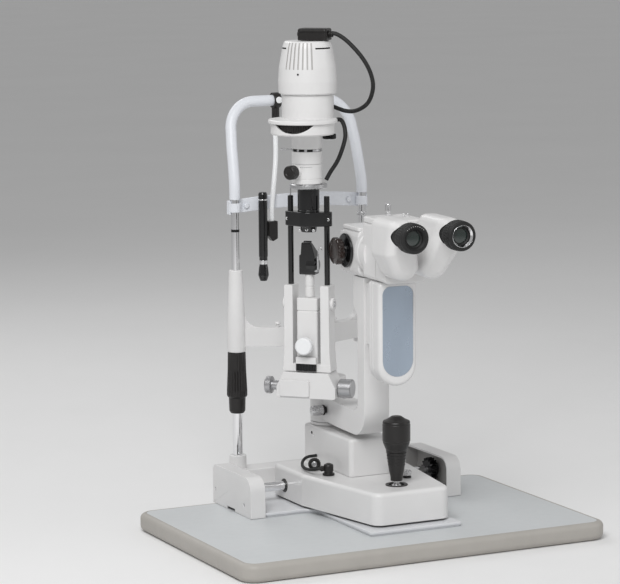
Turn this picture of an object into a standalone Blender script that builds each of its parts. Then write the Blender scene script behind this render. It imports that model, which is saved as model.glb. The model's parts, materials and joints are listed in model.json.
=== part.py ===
"""Slit lamp on its table top: a rail-guided carriage, a binocular microscope and a slit projector
that swing about one upright axis, and a chin and forehead rest for the patient.

Metres, +Z up. The operator sits on the -Y side, the patient on the +Y side. X = 0 is the plane of
the rails. Z = 0 is the underside of the table top, and heights below are counted from its upper face.
"""

import bpy
import bmesh
from math import cos, sin, pi, tau, radians
from mathutils import Matrix, Vector

GAP = 0.0003

# Sides of a round piece, by its size
SMALL, MEDIUM, LARGE = 12, 16, 24

# Table top
TABLE_THICKNESS = 0.026
TABLE_WIDTH = 0.560
TABLE_DEPTH = 0.376
TABLE_SHIFT = -0.011
TABLE_CORNER = 0.025

# Rails, rack and slide plate
RAIL_INNER = 0.1455
RAIL_WIDTH = 0.023
RAIL_FRONT = 0.058
RAIL_REAR = 0.188
RAIL_HEIGHT = 0.057
RAIL_WALL = 0.003
PLATE_THICKNESS = 0.006
TONGUE_LEFT = -0.0685
TONGUE_RIGHT = 0.074
TONGUE_FRONT = -0.115
TOOTH_MODULE = 0.002
PINION_TEETH = 16
PINION_WIDTH = 0.010
RACK_X = 0.1535

# Cross axle
AXLE_Y = 0.125
AXLE_HEIGHT = 0.028
AXLE_RADIUS = 0.004
SLEEVE_RADIUS = 0.0065

# Carriage
CARRIAGE_LOW = 0.0066
CARRIAGE_HIGH = 0.054
CARRIAGE_FRONT = -0.098
CARRIAGE_REAR = 0.170
CARRIAGE_WALL = 0.003
BOX_HALF = 0.0325
BOX_FRONT = 0.017
BOX_REAR = 0.168
BOX_HIGH = 0.108
JOYSTICK = (0.003, -0.055)
GIMBAL_HEIGHT = 0.046
GRIP_TOP = 0.1525

# Upright swing axis and the two arms
AXIS_Y = 0.147
COLUMN_RADIUS = 0.018
HUB_RADIUS = 0.028
SHAFT_RADIUS = 0.010
ARM_LOW = 0.1133
ARM_TOP = 0.151
HUB_TOP = 0.1575
MICROSCOPE_SWING = radians(-3)
ILLUMINATION_SWING = radians(-45)

# Microscope, measured forward of the swing axis
BAR_INNER = 0.1436
BAR_FRONT = 0.1664
BAR_HALF = 0.019
BAR_TOP = 0.3417
OPTICS_HEIGHT = 0.377
OBJECTIVE_FRONT = 0.101
DRUM_FORWARD = 0.127
DRUM_RADIUS = 0.017
BODY_REAR = 0.1667
BODY_FRONT = 0.2625
BODY_TOP = 0.432
CAMERA_REAR = 0.2000
CAMERA_FRONT = 0.238
CAMERA_HALF = 0.0285
CAMERA_LOW = 0.200
PRISM_REAR = 0.2645
PRISM_PIVOT = (0.022, 0.375)
EYE_OFFSET = 0.0345
EYE_HEIGHT = 0.4195
EYE_RADIUS = 0.0205
EYE_BACK = 0.336
EYE_RIM = 0.368

# Slit projector, measured forward of the swing axis
TOWER_FORWARD = 0.086
BASE_LOW = 0.162
BASE_TOP = 0.199
BASE_HALF = 0.044
WIDTH_KNOB_HEIGHT = 0.176
YOKE_TOP = 0.323
YOKE_HINGE_FORWARD = 0.016
CENTRE_BLOCK_TOP = 0.305
ROD_X = 0.027
ROD_RADIUS = 0.004
CROSS_LOW = 0.4065
CROSS_TOP = 0.427
FLANGE_LOW = 0.461
RING_LOW = 0.467
RING_TOP = 0.495
COLUMN_TOP = 0.5375
TUBE_RADIUS = 0.0215
TUBE_FORWARD = 0.005
DISC_TOP = 0.559
DISC_RADIUS = 0.045
DISC_FORWARD = 0.022
COLLAR_TOP = 0.5923
COLLAR_RADIUS = 0.0365
LAMP_TOP = 0.6666

# Chin and forehead rest
POST_X = 0.1034
POST_Y = 0.243
POST_RADIUS = 0.006
POST_FOOT_RADIUS = 0.0075
POST_TOP = 0.431
FRAME_RADIUS = 0.008
FRAME_TOP = 0.570
FRAME_LEAN = 0.035
BAND_LOW = 0.409
BAND_HIGH = 0.429
SLEEVE_LOW = 0.2075
SLEEVE_TOP = 0.328
BAR_LOW = 0.2145
BAR_HIGH = 0.2425
CHIN_BOW = 0.035
FIXATION_X = -0.020


# ---------------------------------------------------------------- materials

def material(name, colour, roughness=0.45, metallic=0.0):
    """A Principled material, made once for each name."""
    found = bpy.data.materials.get(name)
    if found:
        return found
    made = bpy.data.materials.new(name)
    made.use_nodes = True
    shader = made.node_tree.nodes["Principled BSDF"]
    shader.inputs["Base Color"].default_value = (*colour, 1)
    shader.inputs["Roughness"].default_value = roughness
    shader.inputs["Metallic"].default_value = metallic
    return made


def white_paint():
    return material("white_paint", (0.80, 0.79, 0.77), 0.42)


def table_laminate():
    return material("table_laminate", (0.72, 0.73, 0.73), 0.5)


def chrome():
    return material("chrome", (0.82, 0.82, 0.83), 0.12, 1)


def satin_steel():
    return material("satin_steel", (0.60, 0.60, 0.61), 0.3, 1)


def black_plastic():
    return material("black_plastic", (0.025, 0.022, 0.02), 0.4)


def black_metal():
    return material("black_metal", (0.02, 0.02, 0.022), 0.28, 0.3)


def glass():
    return material("optical_glass", (0.75, 0.85, 0.85), 0.05)


def mirror_silver():
    return material("mirror_silver", (0.92, 0.92, 0.92), 0.03, 1)


def rubber():
    return material("black_rubber", (0.02, 0.02, 0.02), 0.7)


def pale_plastic():
    return material("pale_plastic", (0.82, 0.84, 0.86), 0.4)


# ---------------------------------------------------------------- outlines and solids

def circle(centre, radius, count=SMALL):
    return [
        (centre[0] + radius * cos(tau * i / count), centre[1] + radius * sin(tau * i / count))
        for i in range(count)
    ]


def hull(circles, count=SMALL):
    """The convex outline round several circles, each (x, y, radius), anticlockwise."""
    points = sorted({p for x, y, r in circles for p in circle((x, y), r, count)})

    def half(ordered):
        chain = []
        for point in ordered:
            while len(chain) > 1:
                (ax, ay), (bx, by) = chain[-2:]
                if (bx - ax) * (point[1] - ay) - (by - ay) * (point[0] - ax) > 1e-9:
                    break
                chain.pop()
            chain.append(point)
        return chain[:-1]

    return half(points) + half(points[::-1])


def rounded_rectangle(low, high, radius, count=SMALL):
    corners = [(x, y, radius) for x in (low[0] + radius, high[0] - radius)
               for y in (low[1] + radius, high[1] - radius)]
    return hull(corners, count)


def link(name, bm, look, parent, smooth=35):
    """Puts a finished bmesh into the scene as a named object under an empty."""
    bmesh.ops.remove_doubles(bm, verts=bm.verts, dist=1e-6)
    bmesh.ops.recalc_face_normals(bm, faces=bm.faces)
    mesh = bpy.data.meshes.new(name)
    bm.to_mesh(mesh)
    bm.free()
    mesh.materials.append(look)
    mesh.shade_smooth()
    mesh.set_sharp_from_angle(angle=radians(smooth))
    obj = bpy.data.objects.new(name, mesh)
    bpy.context.collection.objects.link(obj)
    obj.parent = parent
    return obj


PLANES = {
    "Z": Matrix(((1, 0, 0), (0, 1, 0), (0, 0, 1))),
    "Y": Matrix(((1, 0, 0), (0, 0, -1), (0, 1, 0))),
    "X": Matrix(((0, 0, 1), (1, 0, 0), (0, 1, 0))),
}


def slab(name, outline, low, high, look, parent, along="Z"):
    """An outline extruded from low to high.

    Along Z the outline is (x, y). Along Y it is (x, z) and low and high are distances forward, to -Y.
    Along X it is (y, z).
    """
    bm = bmesh.new()
    face = bm.faces.new([bm.verts.new((x, y, low)) for x, y in outline])
    top = bmesh.ops.extrude_face_region(bm, geom=[face])["geom"]
    raised = [v for v in top if isinstance(v, bmesh.types.BMVert)]
    bmesh.ops.translate(bm, verts=raised, vec=(0, 0, high - low))
    bmesh.ops.transform(bm, matrix=PLANES[along].to_4x4(), verts=bm.verts)
    return link(name, bm, look, parent)


def turned(name, profile, look, parent, steps=MEDIUM, along="Z", at=(0, 0, 0)):
    """A closed (radius, height) profile turned about an axis through at."""
    bm = bmesh.new()
    points = [bm.verts.new((r, 0, z)) for r, z in profile]
    edges = [bm.edges.new((a, b)) for a, b in zip(points, points[1:] + points[:1])
             if a.co.x > 1e-9 or b.co.x > 1e-9]
    bmesh.ops.spin(bm, geom=points + edges, cent=(0, 0, 0), axis=(0, 0, 1), angle=tau,
                   steps=steps, use_merge=True)
    turn = {"Z": Matrix.Identity(3), "Y": PLANES["Y"], "X": PLANES["X"]}[along]
    bmesh.ops.transform(bm, matrix=Matrix.Translation(at) @ turn.to_4x4(), verts=bm.verts)
    return link(name, bm, look, parent)


def rod(radius, low, high):
    """The profile of a plain round bar."""
    return [(0, low), (radius, low), (radius, high), (0, high)]


def ring(inner, outer, low, high):
    return [(inner, low), (outer, low), (outer, high), (inner, high)]


def block(name, low, high, look, parent, bevel=0.0, segments=1):
    bm = bmesh.new()
    size = [h - l for l, h in zip(low, high)]
    centre = [(l + h) / 2 for l, h in zip(low, high)]
    place = Matrix.Translation(centre) @ Matrix.Diagonal((*size, 1))
    bmesh.ops.create_cube(bm, size=1, matrix=place)
    obj = link(name, bm, look, parent)
    if bevel:
        soften(obj, bevel, segments)
    return obj


def soften(obj, width, segments=1, angle=50):
    bevel = obj.modifiers.new("Bevel", "BEVEL")
    bevel.width = width
    bevel.segments = segments
    bevel.limit_method = "ANGLE"
    bevel.angle_limit = radians(angle)
    return obj


def combine(target, other, operation, solver="EXACT"):
    """A Boolean with a helper object, which is then kept out of the model."""
    other.hide_render = True
    other.display_type = "WIRE"
    modifier = target.modifiers.new(operation.title(), "BOOLEAN")
    modifier.operation = operation
    modifier.solver = solver
    modifier.object = other
    return target


def cut(target, *cutters):
    for cutter in cutters:
        combine(target, cutter, "DIFFERENCE")
    return target


def join(target, *others):
    for other in others:
        combine(target, other, "UNION")
    return target


def tube(name, points, radius, look, parent, resolution=2):
    """A round tube along the points, with closed ends."""
    data = bpy.data.curves.new(name, "CURVE")
    data.dimensions = "3D"
    data.bevel_depth = radius
    data.bevel_resolution = resolution
    data.use_fill_caps = True
    spline = data.splines.new("POLY")
    spline.points.add(len(points) - 1)
    for point, place in zip(spline.points, points):
        point.co = (*place, 1)
    data.materials.append(look)
    obj = bpy.data.objects.new(name, data)
    bpy.context.collection.objects.link(obj)
    obj.parent = parent
    return obj


def smooth_route(points, step):
    """Points a step apart on the Catmull-Rom curve through a hand-placed route."""
    route = [Vector(p) for p in points]
    ends = [2 * route[0] - route[1], *route, 2 * route[-1] - route[-2]]
    found = [route[0]]
    for a, b, c, d in zip(ends, ends[1:], ends[2:], ends[3:]):
        count = max(1, round((c - b).length / step))
        for i in range(1, count + 1):
            t = i / count
            found.append(0.5 * (2 * b + (c - a) * t + (2 * a - 5 * b + 4 * c - d) * t ** 2
                                + (3 * b - a - 3 * c + d) * t ** 3))
    return found


def frame(name, parent, place=(0, 0, 0), turn=(0, 0, 0)):
    """An empty that carries one moving group, on its joint's axis."""
    empty = bpy.data.objects.new(name, None)
    bpy.context.collection.objects.link(empty)
    empty.empty_display_size = 0.02
    empty.parent = parent
    empty.location = place
    empty.rotation_euler = turn
    return empty


# ---------------------------------------------------------------- table, rails and slide plate

def tooth_row(count, pitch_line):
    """The (y, z) outline of a straight rack's teeth, one tooth centred under the axle."""
    pitch = pi * TOOTH_MODULE
    outline = []
    for i in range(count):
        middle = AXLE_Y + (i - (count - 1) / 2) * pitch
        for side, height in ((-0.34, -1.3), (-0.12, 0.8), (0.12, 0.8), (0.34, -1.3)):
            outline.append((middle + side * pitch, pitch_line + height * TOOTH_MODULE))
    return outline


def build_table(base):
    low = (TABLE_SHIFT - TABLE_WIDTH / 2, -TABLE_DEPTH / 2)
    high = (TABLE_SHIFT + TABLE_WIDTH / 2, TABLE_DEPTH / 2)
    outline = rounded_rectangle(low, high, TABLE_CORNER, 32)
    top = slab("table_top", outline, -TABLE_THICKNESS, -GAP, table_laminate(), base)
    soften(top, 0.007, 2)


def build_slide_plate(base):
    half, shoulder, fillet = RAIL_INNER - 0.0005, 0.060, 0.020
    turns = [(fillet * (1 - sin(a)), shoulder - fillet * (1 - cos(a)))
             for a in (i * pi / 12 for i in range(7))]
    right = [(TONGUE_RIGHT, TONGUE_FRONT), *[(TONGUE_RIGHT + x, y) for x, y in turns[::-1]],
             (half, shoulder), (half, RAIL_REAR)]
    left = [(-half, RAIL_REAR), (-half, shoulder), *[(TONGUE_LEFT - x, y) for x, y in turns],
            (TONGUE_LEFT, TONGUE_FRONT)]
    outline = right + left
    plate = slab("slide_plate", outline, 0, PLATE_THICKNESS, pale_plastic(), base)
    pitch_line = AXLE_HEIGHT - TOOTH_MODULE * PINION_TEETH / 2
    teeth = tooth_row(15, pitch_line)
    racks = [(teeth[0][0], 0), *teeth, (teeth[-1][0], 0)]
    for side in (-1, 1):
        rack = slab("rack_helper", racks, side * RACK_X - 0.006, side * RACK_X + 0.006,
                    satin_steel(), base, "X")
        reach = sorted((side * (half - 0.004), side * (RACK_X - 0.004)))
        foot = block("rack_foot_helper", (reach[0], RAIL_FRONT + 0.008, 0),
                     (reach[1], RAIL_REAR - 0.006, 0.004), satin_steel(), base)
        join(plate, rack, foot)


def build_rail_cover(base, name, side):
    """A hollow cover over one rack, open below and towards the carriage."""
    outer = [(RAIL_REAR, 0), (RAIL_REAR, RAIL_HEIGHT)]
    nose = 0.022
    outer += [(RAIL_FRONT + nose * (1 - sin(a)), RAIL_HEIGHT - nose * (1 - cos(a)) * 0.9)
              for a in (i * pi / 10 for i in range(6))]
    outer += [(RAIL_FRONT, 0)]
    near, far = side * RAIL_INNER, side * (RAIL_INNER + RAIL_WIDTH)
    cover = slab(name, outer, min(near, far), max(near, far), white_paint(), base, "X")
    soften(cover, 0.003, 1, 60)
    wall = RAIL_WALL
    inner = [(RAIL_REAR - wall, -0.01), (RAIL_REAR - wall, RAIL_HEIGHT - wall)]
    inner += [(RAIL_FRONT + wall + nose * (1 - sin(a)),
               RAIL_HEIGHT - wall - nose * (1 - cos(a)) * 0.9) for a in (0, pi / 6, pi / 3, pi / 2)]
    inner += [(RAIL_FRONT + wall, -0.01)]
    ends = sorted((near - side * 0.01, far - side * wall))
    cut(cover, slab(name + "_hollow", inner, *ends, white_paint(), base, "X"))


# ---------------------------------------------------------------- cross axle

def pinion_outline():
    """A gear with one gap straight down at rest, to fit over a rack tooth."""
    pitch_radius = TOOTH_MODULE * PINION_TEETH / 2
    tip, root = pitch_radius + 0.85 * TOOTH_MODULE, pitch_radius - 1.25 * TOOTH_MODULE
    step = tau / PINION_TEETH
    outline = []
    for i in range(PINION_TEETH):
        middle = -pi / 2 + (i + 0.5) * step
        for turn, radius in ((-0.27, root), (-0.09, tip), (0.09, tip), (0.27, root)):
            angle = middle + turn * step
            outline.append((radius * cos(angle), radius * sin(angle)))
    return outline


def build_axle(base):
    cross = frame("cross_slide_frame", base, (0, AXLE_Y, AXLE_HEIGHT))
    reach = RACK_X - PINION_WIDTH / 2 - 0.004
    turned("axle_sleeve", ring(AXLE_RADIUS + GAP, SLEEVE_RADIUS, -reach, reach), chrome(), cross,
           MEDIUM, "X")
    axle = frame("axle_frame", cross)
    end = RACK_X + 0.010
    bar = turned("cross_axle", rod(AXLE_RADIUS, -end, end), satin_steel(), axle, SMALL, "X")
    for side in (-1, 1):
        middle = side * RACK_X
        gear = slab("pinion_helper", pinion_outline(), middle - PINION_WIDTH / 2,
                    middle + PINION_WIDTH / 2, black_metal(), axle, "X")
        join(bar, gear)
    return cross


# ---------------------------------------------------------------- carriage

def carriage_outline(inset):
    """Narrow at the operator's end and wide at the axle, and a little wider on the right."""
    corner = 0.016
    left = [(-0.054, CARRIAGE_FRONT + corner), (-0.084, 0.070), (-0.084, CARRIAGE_REAR - corner)]
    right = [(0.067, CARRIAGE_FRONT + corner), (0.090, 0.070), (0.090, CARRIAGE_REAR - corner)]
    spots = [(x + corner, y, corner - inset) for x, y in left]
    spots += [(x - corner, y, corner - inset) for x, y in right]
    return hull(spots)


def build_carriage(cross):
    """Cover and the fixed pieces on it. Its frame stands at the table's surface, on the middle plane."""
    carriage = frame("carriage_frame", cross, (0, -AXLE_Y, -AXLE_HEIGHT))
    cover = slab("carriage_cover", carriage_outline(0), CARRIAGE_LOW, CARRIAGE_HIGH, white_paint(),
                 carriage)
    soften(cover, 0.005, 1, 60)
    inner = slab("carriage_hollow", carriage_outline(CARRIAGE_WALL), CARRIAGE_LOW - 0.01,
                 CARRIAGE_HIGH - CARRIAGE_WALL, white_paint(), carriage)
    sleeve = turned("carriage_axle_hole", rod(SLEEVE_RADIUS + GAP, -0.1, 0.1), white_paint(),
                    carriage, MEDIUM, "X", (0, AXLE_Y, AXLE_HEIGHT))
    stick = turned("carriage_stick_hole", rod(0.0155, CARRIAGE_HIGH - 0.01, CARRIAGE_HIGH + 0.01),
                   white_paint(), carriage, MEDIUM, "Z", (*JOYSTICK, 0))
    lift = turned("carriage_lift_hole", rod(COLUMN_RADIUS + 0.002, CARRIAGE_HIGH - 0.01,
                                            CARRIAGE_HIGH + 0.01), white_paint(), carriage, MEDIUM,
                  "Z", (0, AXIS_Y, 0))
    cut(cover, inner, sleeve, stick, lift)

    outline = rounded_rectangle((-BOX_HALF, BOX_FRONT), (BOX_HALF, BOX_REAR), 0.006)
    box = slab("lift_housing", outline, CARRIAGE_HIGH + GAP, BOX_HIGH, white_paint(), carriage)
    soften(box, 0.004, 1, 60)
    hollow = rounded_rectangle((-BOX_HALF + 0.004, BOX_FRONT + 0.004),
                               (BOX_HALF - 0.004, BOX_REAR - 0.0022), 0.003)
    void = slab("lift_hollow", hollow, CARRIAGE_HIGH - 0.01, BOX_HIGH - 0.008, white_paint(),
                carriage)
    bore = turned("lift_bore", rod(COLUMN_RADIUS + GAP, BOX_HIGH - 0.02, BOX_HIGH + 0.01),
                  white_paint(), carriage, MEDIUM, "Z", (0, AXIS_Y, 0))
    cut(box, void, bore)
    build_joystick(carriage)
    build_base_plug(carriage)
    lock = frame("base_lock_frame", carriage, (0.038, -0.020, CARRIAGE_HIGH + GAP))
    turned("base_lock_knob", [(0, 0), (0.0035, 0), (0.0035, 0.003), (0.0062, 0.0035),
                              (0.0068, 0.009), (0.0060, 0.0105), (0, 0.0105)],
           satin_steel(), lock, SMALL)
    return carriage


def build_joystick(carriage):
    """Two tilt axes cross in the gimbal, and the grip turns on the shaft."""
    gimbal = frame("gimbal_frame", carriage, (*JOYSTICK, GIMBAL_HEIGHT))
    turned("gimbal_ring", ring(0.0095, 0.0125, -0.003, 0.003), satin_steel(), gimbal, MEDIUM)
    stick = frame("joystick_frame", gimbal)
    shaft = [(0, -0.030), (0.0035, -0.030), (0.0045, -0.012), (0.0080, -0.006), (0.0080, 0.006),
             (0.0045, 0.010), (0.0045, 0.060), (0, 0.060)]
    turned("joystick_shaft", shaft, satin_steel(), stick, SMALL)
    grip = frame("grip_frame", stick)
    low, top = 0.0145, GRIP_TOP - GIMBAL_HEIGHT
    bore = 0.0045 + GAP
    profile = [(bore, low), (0.0085, low), (0.0090, 0.022), (0.0105, 0.026), (0.0135, 0.047),
               (0.0165, 0.055), (0.0190, 0.066), (0.0195, top - 0.018), (0.0188, top - 0.009),
               (0.0150, top - 0.006), (0.0105, top - 0.005), (0.0070, top - 0.0008), (0, top),
               (0, 0.0605), (bore, 0.0605)]
    turned("joystick_grip", profile, black_plastic(), grip, MEDIUM)


def build_base_plug(carriage):
    """An angled plug on the carriage, and its short lead to the lift housing's side."""
    at = (-0.052, 0.047, CARRIAGE_HIGH + GAP)
    turned("base_plug", [(0, 0), (0.0085, 0), (0.0085, 0.003), (0.0068, 0.0035), (0.0068, 0.015),
                         (0.0058, 0.017), (0, 0.017)], black_plastic(), carriage, SMALL, "Z", at)
    top = CARRIAGE_HIGH
    route = [(-0.0600, 0.047, top + 0.011), (-0.067, 0.050, top + 0.010),
             (-0.071, 0.062, top + 0.007), (-0.070, 0.082, top + 0.0045),
             (-0.066, 0.102, top + 0.0045), (-0.058, 0.118, top + 0.008),
             (-0.048, 0.124, top + 0.012), (-0.0331, 0.124, top + 0.013)]
    tube("base_lead", smooth_route(route, 0.006), 0.0022, rubber(), carriage)


# ---------------------------------------------------------------- lift column

def build_column(carriage):
    """The column rises 30 mm from the housing. Above its flange is the swing axis of both arms."""
    column = frame("column_frame", carriage, (0, AXIS_Y, 0))
    bore = 0.0055
    profile = [(bore, 0.056), (COLUMN_RADIUS, 0.056), (COLUMN_RADIUS, BOX_HIGH + GAP),
               (HUB_RADIUS, BOX_HIGH + GAP), (HUB_RADIUS, ARM_LOW - 0.0006),
               (SHAFT_RADIUS, ARM_LOW - 0.0006), (SHAFT_RADIUS, 0.1815), (0, 0.1815),
               (0, 0.108), (bore, 0.108)]
    turned("lift_column", profile, satin_steel(), column, MEDIUM)
    screw = frame("lift_screw_frame", carriage, (0, AXIS_Y, 0))
    ridge = [(0, 0.030), (0.0050, 0.030)]
    for i in range(3):
        low = 0.034 + i * 0.016
        ridge += [(0.0050, low + 0.004), (0.0042, low + 0.005),
                  (0.0042, low + 0.007), (0.0050, low + 0.008)]
    turned("lift_screw", ridge + [(0.0050, 0.090), (0, 0.090)], satin_steel(), screw, SMALL)
    return column


# ---------------------------------------------------------------- microscope

def arm_bore(name, parent, low, high):
    return turned(name, rod(SHAFT_RADIUS + GAP, low, high), white_paint(), parent, MEDIUM)


def build_microscope_arm(arm):
    """Hub, boat-shaped horizontal limb and upright bar, drawn as one side outline in (y, z)."""
    corner = 0.036
    turn = [(-(BAR_FRONT - corner * (1 - sin(a))), ARM_LOW + 0.002 + corner * (1 - cos(a)))
            for a in (i * pi / 12 for i in range(7))]
    fillet = [(-(BAR_INNER - 0.012 * (1 - sin(a))), ARM_TOP + 0.012 * (1 - cos(a)))
              for a in (i * pi / 6 for i in range(4))]
    outline = [(0, ARM_LOW + 0.006), (-0.040, ARM_LOW + 0.003), (-0.075, ARM_LOW + 0.002), *turn,
               (-BAR_FRONT, BAR_TOP), (-0.130, BAR_TOP), (-0.130, 0.297), (-0.134, 0.290),
               (-BAR_INNER, 0.286), *fillet[::-1], (0, ARM_TOP)]
    limb = slab("microscope_arm", outline[::-1], -BAR_HALF, BAR_HALF, white_paint(), arm, "X")
    soften(limb, 0.005, 1, 60)
    hub = turned("microscope_hub", rod(HUB_RADIUS, ARM_LOW, HUB_TOP), white_paint(), arm, MEDIUM)
    join(limb, hub)
    cut(limb, arm_bore("microscope_bore", arm, 0.10, 0.17))
    lock = frame("arm_lock_frame", arm, (0, -0.031, 0.134))
    start = -(BAR_HALF + GAP)
    turned("arm_lock_knob", [(0, start), (0.0045, start), (0.0045, start - 0.004),
                             (0.0072, start - 0.004), (0.0075, start - 0.021),
                             (0.0065, start - 0.023), (0, start - 0.023)],
           satin_steel(), lock, SMALL, "X")


def build_magnification(arm):
    """Objective housing with a cross bore for the lens drum, and the drum with its two knobs."""
    low, high = BAR_TOP + GAP, 0.4125
    outline = rounded_rectangle((-0.027, low), (0.027, high), 0.014)
    housing = slab("magnification_housing", outline, OBJECTIVE_FRONT, BODY_REAR - GAP,
                   white_paint(), arm, "Y")
    soften(housing, 0.004, 1, 60)
    drum_at = (0, -DRUM_FORWARD, OPTICS_HEIGHT)
    bore = turned("drum_bore", rod(DRUM_RADIUS + GAP, -0.05, 0.05), white_paint(), arm, LARGE, "X",
                  drum_at)
    light = turned("objective_bore", rod(0.0165, OBJECTIVE_FRONT - 0.01, OBJECTIVE_FRONT + 0.012),
                   white_paint(), arm, MEDIUM, "Y", (0, 0, OPTICS_HEIGHT))
    swing_room = block("projector_room", (-0.040, -0.1120, 0.402), (0.040, -0.090, 0.430),
                       white_paint(), arm)
    cut(housing, bore, light, swing_room)
    turned("objective_lens", [(0, 0.1012), (0.0162, 0.1022), (0.0162, 0.1070), (0, 0.1070)],
           glass(), arm, MEDIUM, "Y", (0, 0, OPTICS_HEIGHT))

    drum = frame("drum_frame", arm, drum_at)
    right = [(DRUM_RADIUS, 0.0273), (0.024, 0.0275),
              (0.024, 0.0310), (0.012, 0.0320), (0.012, 0.0370), (0.0185, 0.0380),
              (0.0185, 0.0460), (0.0150, 0.0480), (0, 0.0480)]
    barrel = [(r, -x) for r, x in right[::-1]] + right
    turned("magnification_drum", barrel, black_metal(), drum, MEDIUM, "X")


def build_scope_body(arm):
    """Round joint behind the drum housing, then the block that the heads and the camera hang on."""
    body = turned("scope_body", rod(0.034, BODY_REAR, 0.200), white_paint(), arm, LARGE, "Y",
                  (0, 0, OPTICS_HEIGHT + 0.003))
    outline = rounded_rectangle((-0.031, 0.346), (0.031, BODY_TOP), 0.010)
    beam = slab("beam_block", outline, 0.190, BODY_FRONT, white_paint(), arm, "Y")
    join(body, beam)
    knob = frame("beam_selector_frame", arm, (0, -0.207, BODY_TOP + GAP))
    turned("beam_selector", [(0, 0), (0.0030, 0), (0.0030, 0.004), (0.0042, 0.005),
                             (0.0042, 0.016), (0.0030, 0.0175), (0, 0.0175)],
           chrome(), knob, SMALL)

    outline = hull([(0, CAMERA_LOW + CAMERA_HALF, CAMERA_HALF), (CAMERA_HALF - 0.006, 0.339, 0.006),
                    (-CAMERA_HALF + 0.006, 0.339, 0.006)], LARGE)
    camera = slab("camera_housing", outline, CAMERA_REAR, CAMERA_FRONT, white_paint(), arm, "Y")
    soften(camera, 0.006, 1, 60)
    mount = block("camera_mount", (-0.015, -CAMERA_REAR - 0.004, 0.250),
                  (0.015, -BAR_FRONT - GAP, 0.335), white_paint(), arm)
    join(camera, mount)


def build_eye_head(arm, side):
    """Prism housing, which swings about its beam to set the eye distance, and its eyepiece."""
    name = "left" if side < 0 else "right"
    pivot = (side * PRISM_PIVOT[0], PRISM_PIVOT[1])
    swing = frame(f"prism_frame_{name}", arm, (pivot[0], 0, pivot[1]))
    across, height = EYE_OFFSET - PRISM_PIVOT[0], EYE_HEIGHT - PRISM_PIVOT[1]
    spots = [(across - 0.0050, height + 0.0085, 0.0120), (across + 0.0060, height + 0.0085, 0.0115),
             (across + 0.0070, height - 0.0250, 0.0115), (0, 0, 0.0195)]
    outline = hull([(side * x, z, r) for x, z, r in spots], SMALL)
    housing = slab(f"prism_housing_{name}", outline, PRISM_REAR, 0.335, white_paint(), swing, "Y")
    lean_front(housing, height)
    soften(housing, 0.005, 1, 60)
    socket = turned(f"eye_socket_{name}", rod(0.0153, 0.318, 0.36), white_paint(), swing, MEDIUM, "Y",
                    (side * across, 0, height))
    cut(housing, socket)
    eye = frame(f"eyepiece_frame_{name}", swing, (side * across, 0, height))
    cup = [(0, 0.3185), (0.015, 0.3185), (0.015, EYE_BACK + 0.010), (0.0195, EYE_BACK + 0.010),
           (EYE_RADIUS, EYE_BACK + 0.014), (EYE_RADIUS, EYE_BACK + 0.024), (0.0200, EYE_RIM - 0.002),
           (0.0185, EYE_RIM), (0.0150, EYE_RIM), (0.0120, EYE_RIM - 0.006), (0.0105, EYE_RIM - 0.008),
           (0, EYE_RIM - 0.007)]
    turned(f"eyepiece_{name}", cup, black_plastic(), eye, MEDIUM, "Y")


def lean_front(housing, height):
    """The front face leans: its top reaches further to the operator than its bottom."""
    front = min(v.co.y for v in housing.data.vertices)
    for vertex in housing.data.vertices:
        if vertex.co.y < front + 1e-5:
            vertex.co.y -= 0.011 * (vertex.co.z - height) / 0.030
    housing.data.update()


def build_microscope(column):
    arm = frame("microscope_frame", column, (0, 0, 0), (0, 0, MICROSCOPE_SWING))
    build_microscope_arm(arm)
    build_magnification(arm)
    build_scope_body(arm)
    for side in (-1, 1):
        build_eye_head(arm, side)


# ---------------------------------------------------------------- slit projector

def build_illumination_arm(arm):
    """Hub, short limb and the base block with the cross shaft of the slit width knobs."""
    outline = [(-BASE_HALF, BASE_LOW), (BASE_HALF, BASE_LOW), (BASE_HALF, 0.178),
               (0.034, BASE_TOP), (-0.034, BASE_TOP), (-BASE_HALF, 0.178)]
    base = slab("illumination_arm", outline, TOWER_FORWARD - 0.018, TOWER_FORWARD + 0.020,
                white_paint(), arm, "Y")
    soften(base, 0.003, 2, 40)
    hub = turned("illumination_hub", rod(0.024, HUB_TOP + GAP, 0.178), white_paint(), arm, MEDIUM)
    limb = block("illumination_limb", (-0.016, -TOWER_FORWARD, 0.1635), (0.016, -0.012, 0.177),
                 white_paint(), arm)
    join(base, limb, hub)
    at = (0, -TOWER_FORWARD, WIDTH_KNOB_HEIGHT)
    bore = turned("width_bore", rod(0.0043, -0.1, 0.1), white_paint(), arm, SMALL, "X", at)
    cut(base, bore, arm_bore("illumination_bore", arm, 0.15, 0.19))
    width = frame("slit_width_frame", arm, at)
    profile = [(0, -0.066), (0.0115, -0.066), (0.0125, -0.0645), (0.0125, -0.057), (0.0068, -0.056),
               (0.0068, -0.0446), (0.004, -0.0446), (0.004, 0.0446), (0.0125, 0.0446),
               (0.0135, 0.046), (0.0135, 0.0625), (0.0120, 0.064), (0, 0.064)]
    turned("slit_width_knobs", profile, satin_steel(), width, MEDIUM, "X")


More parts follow.
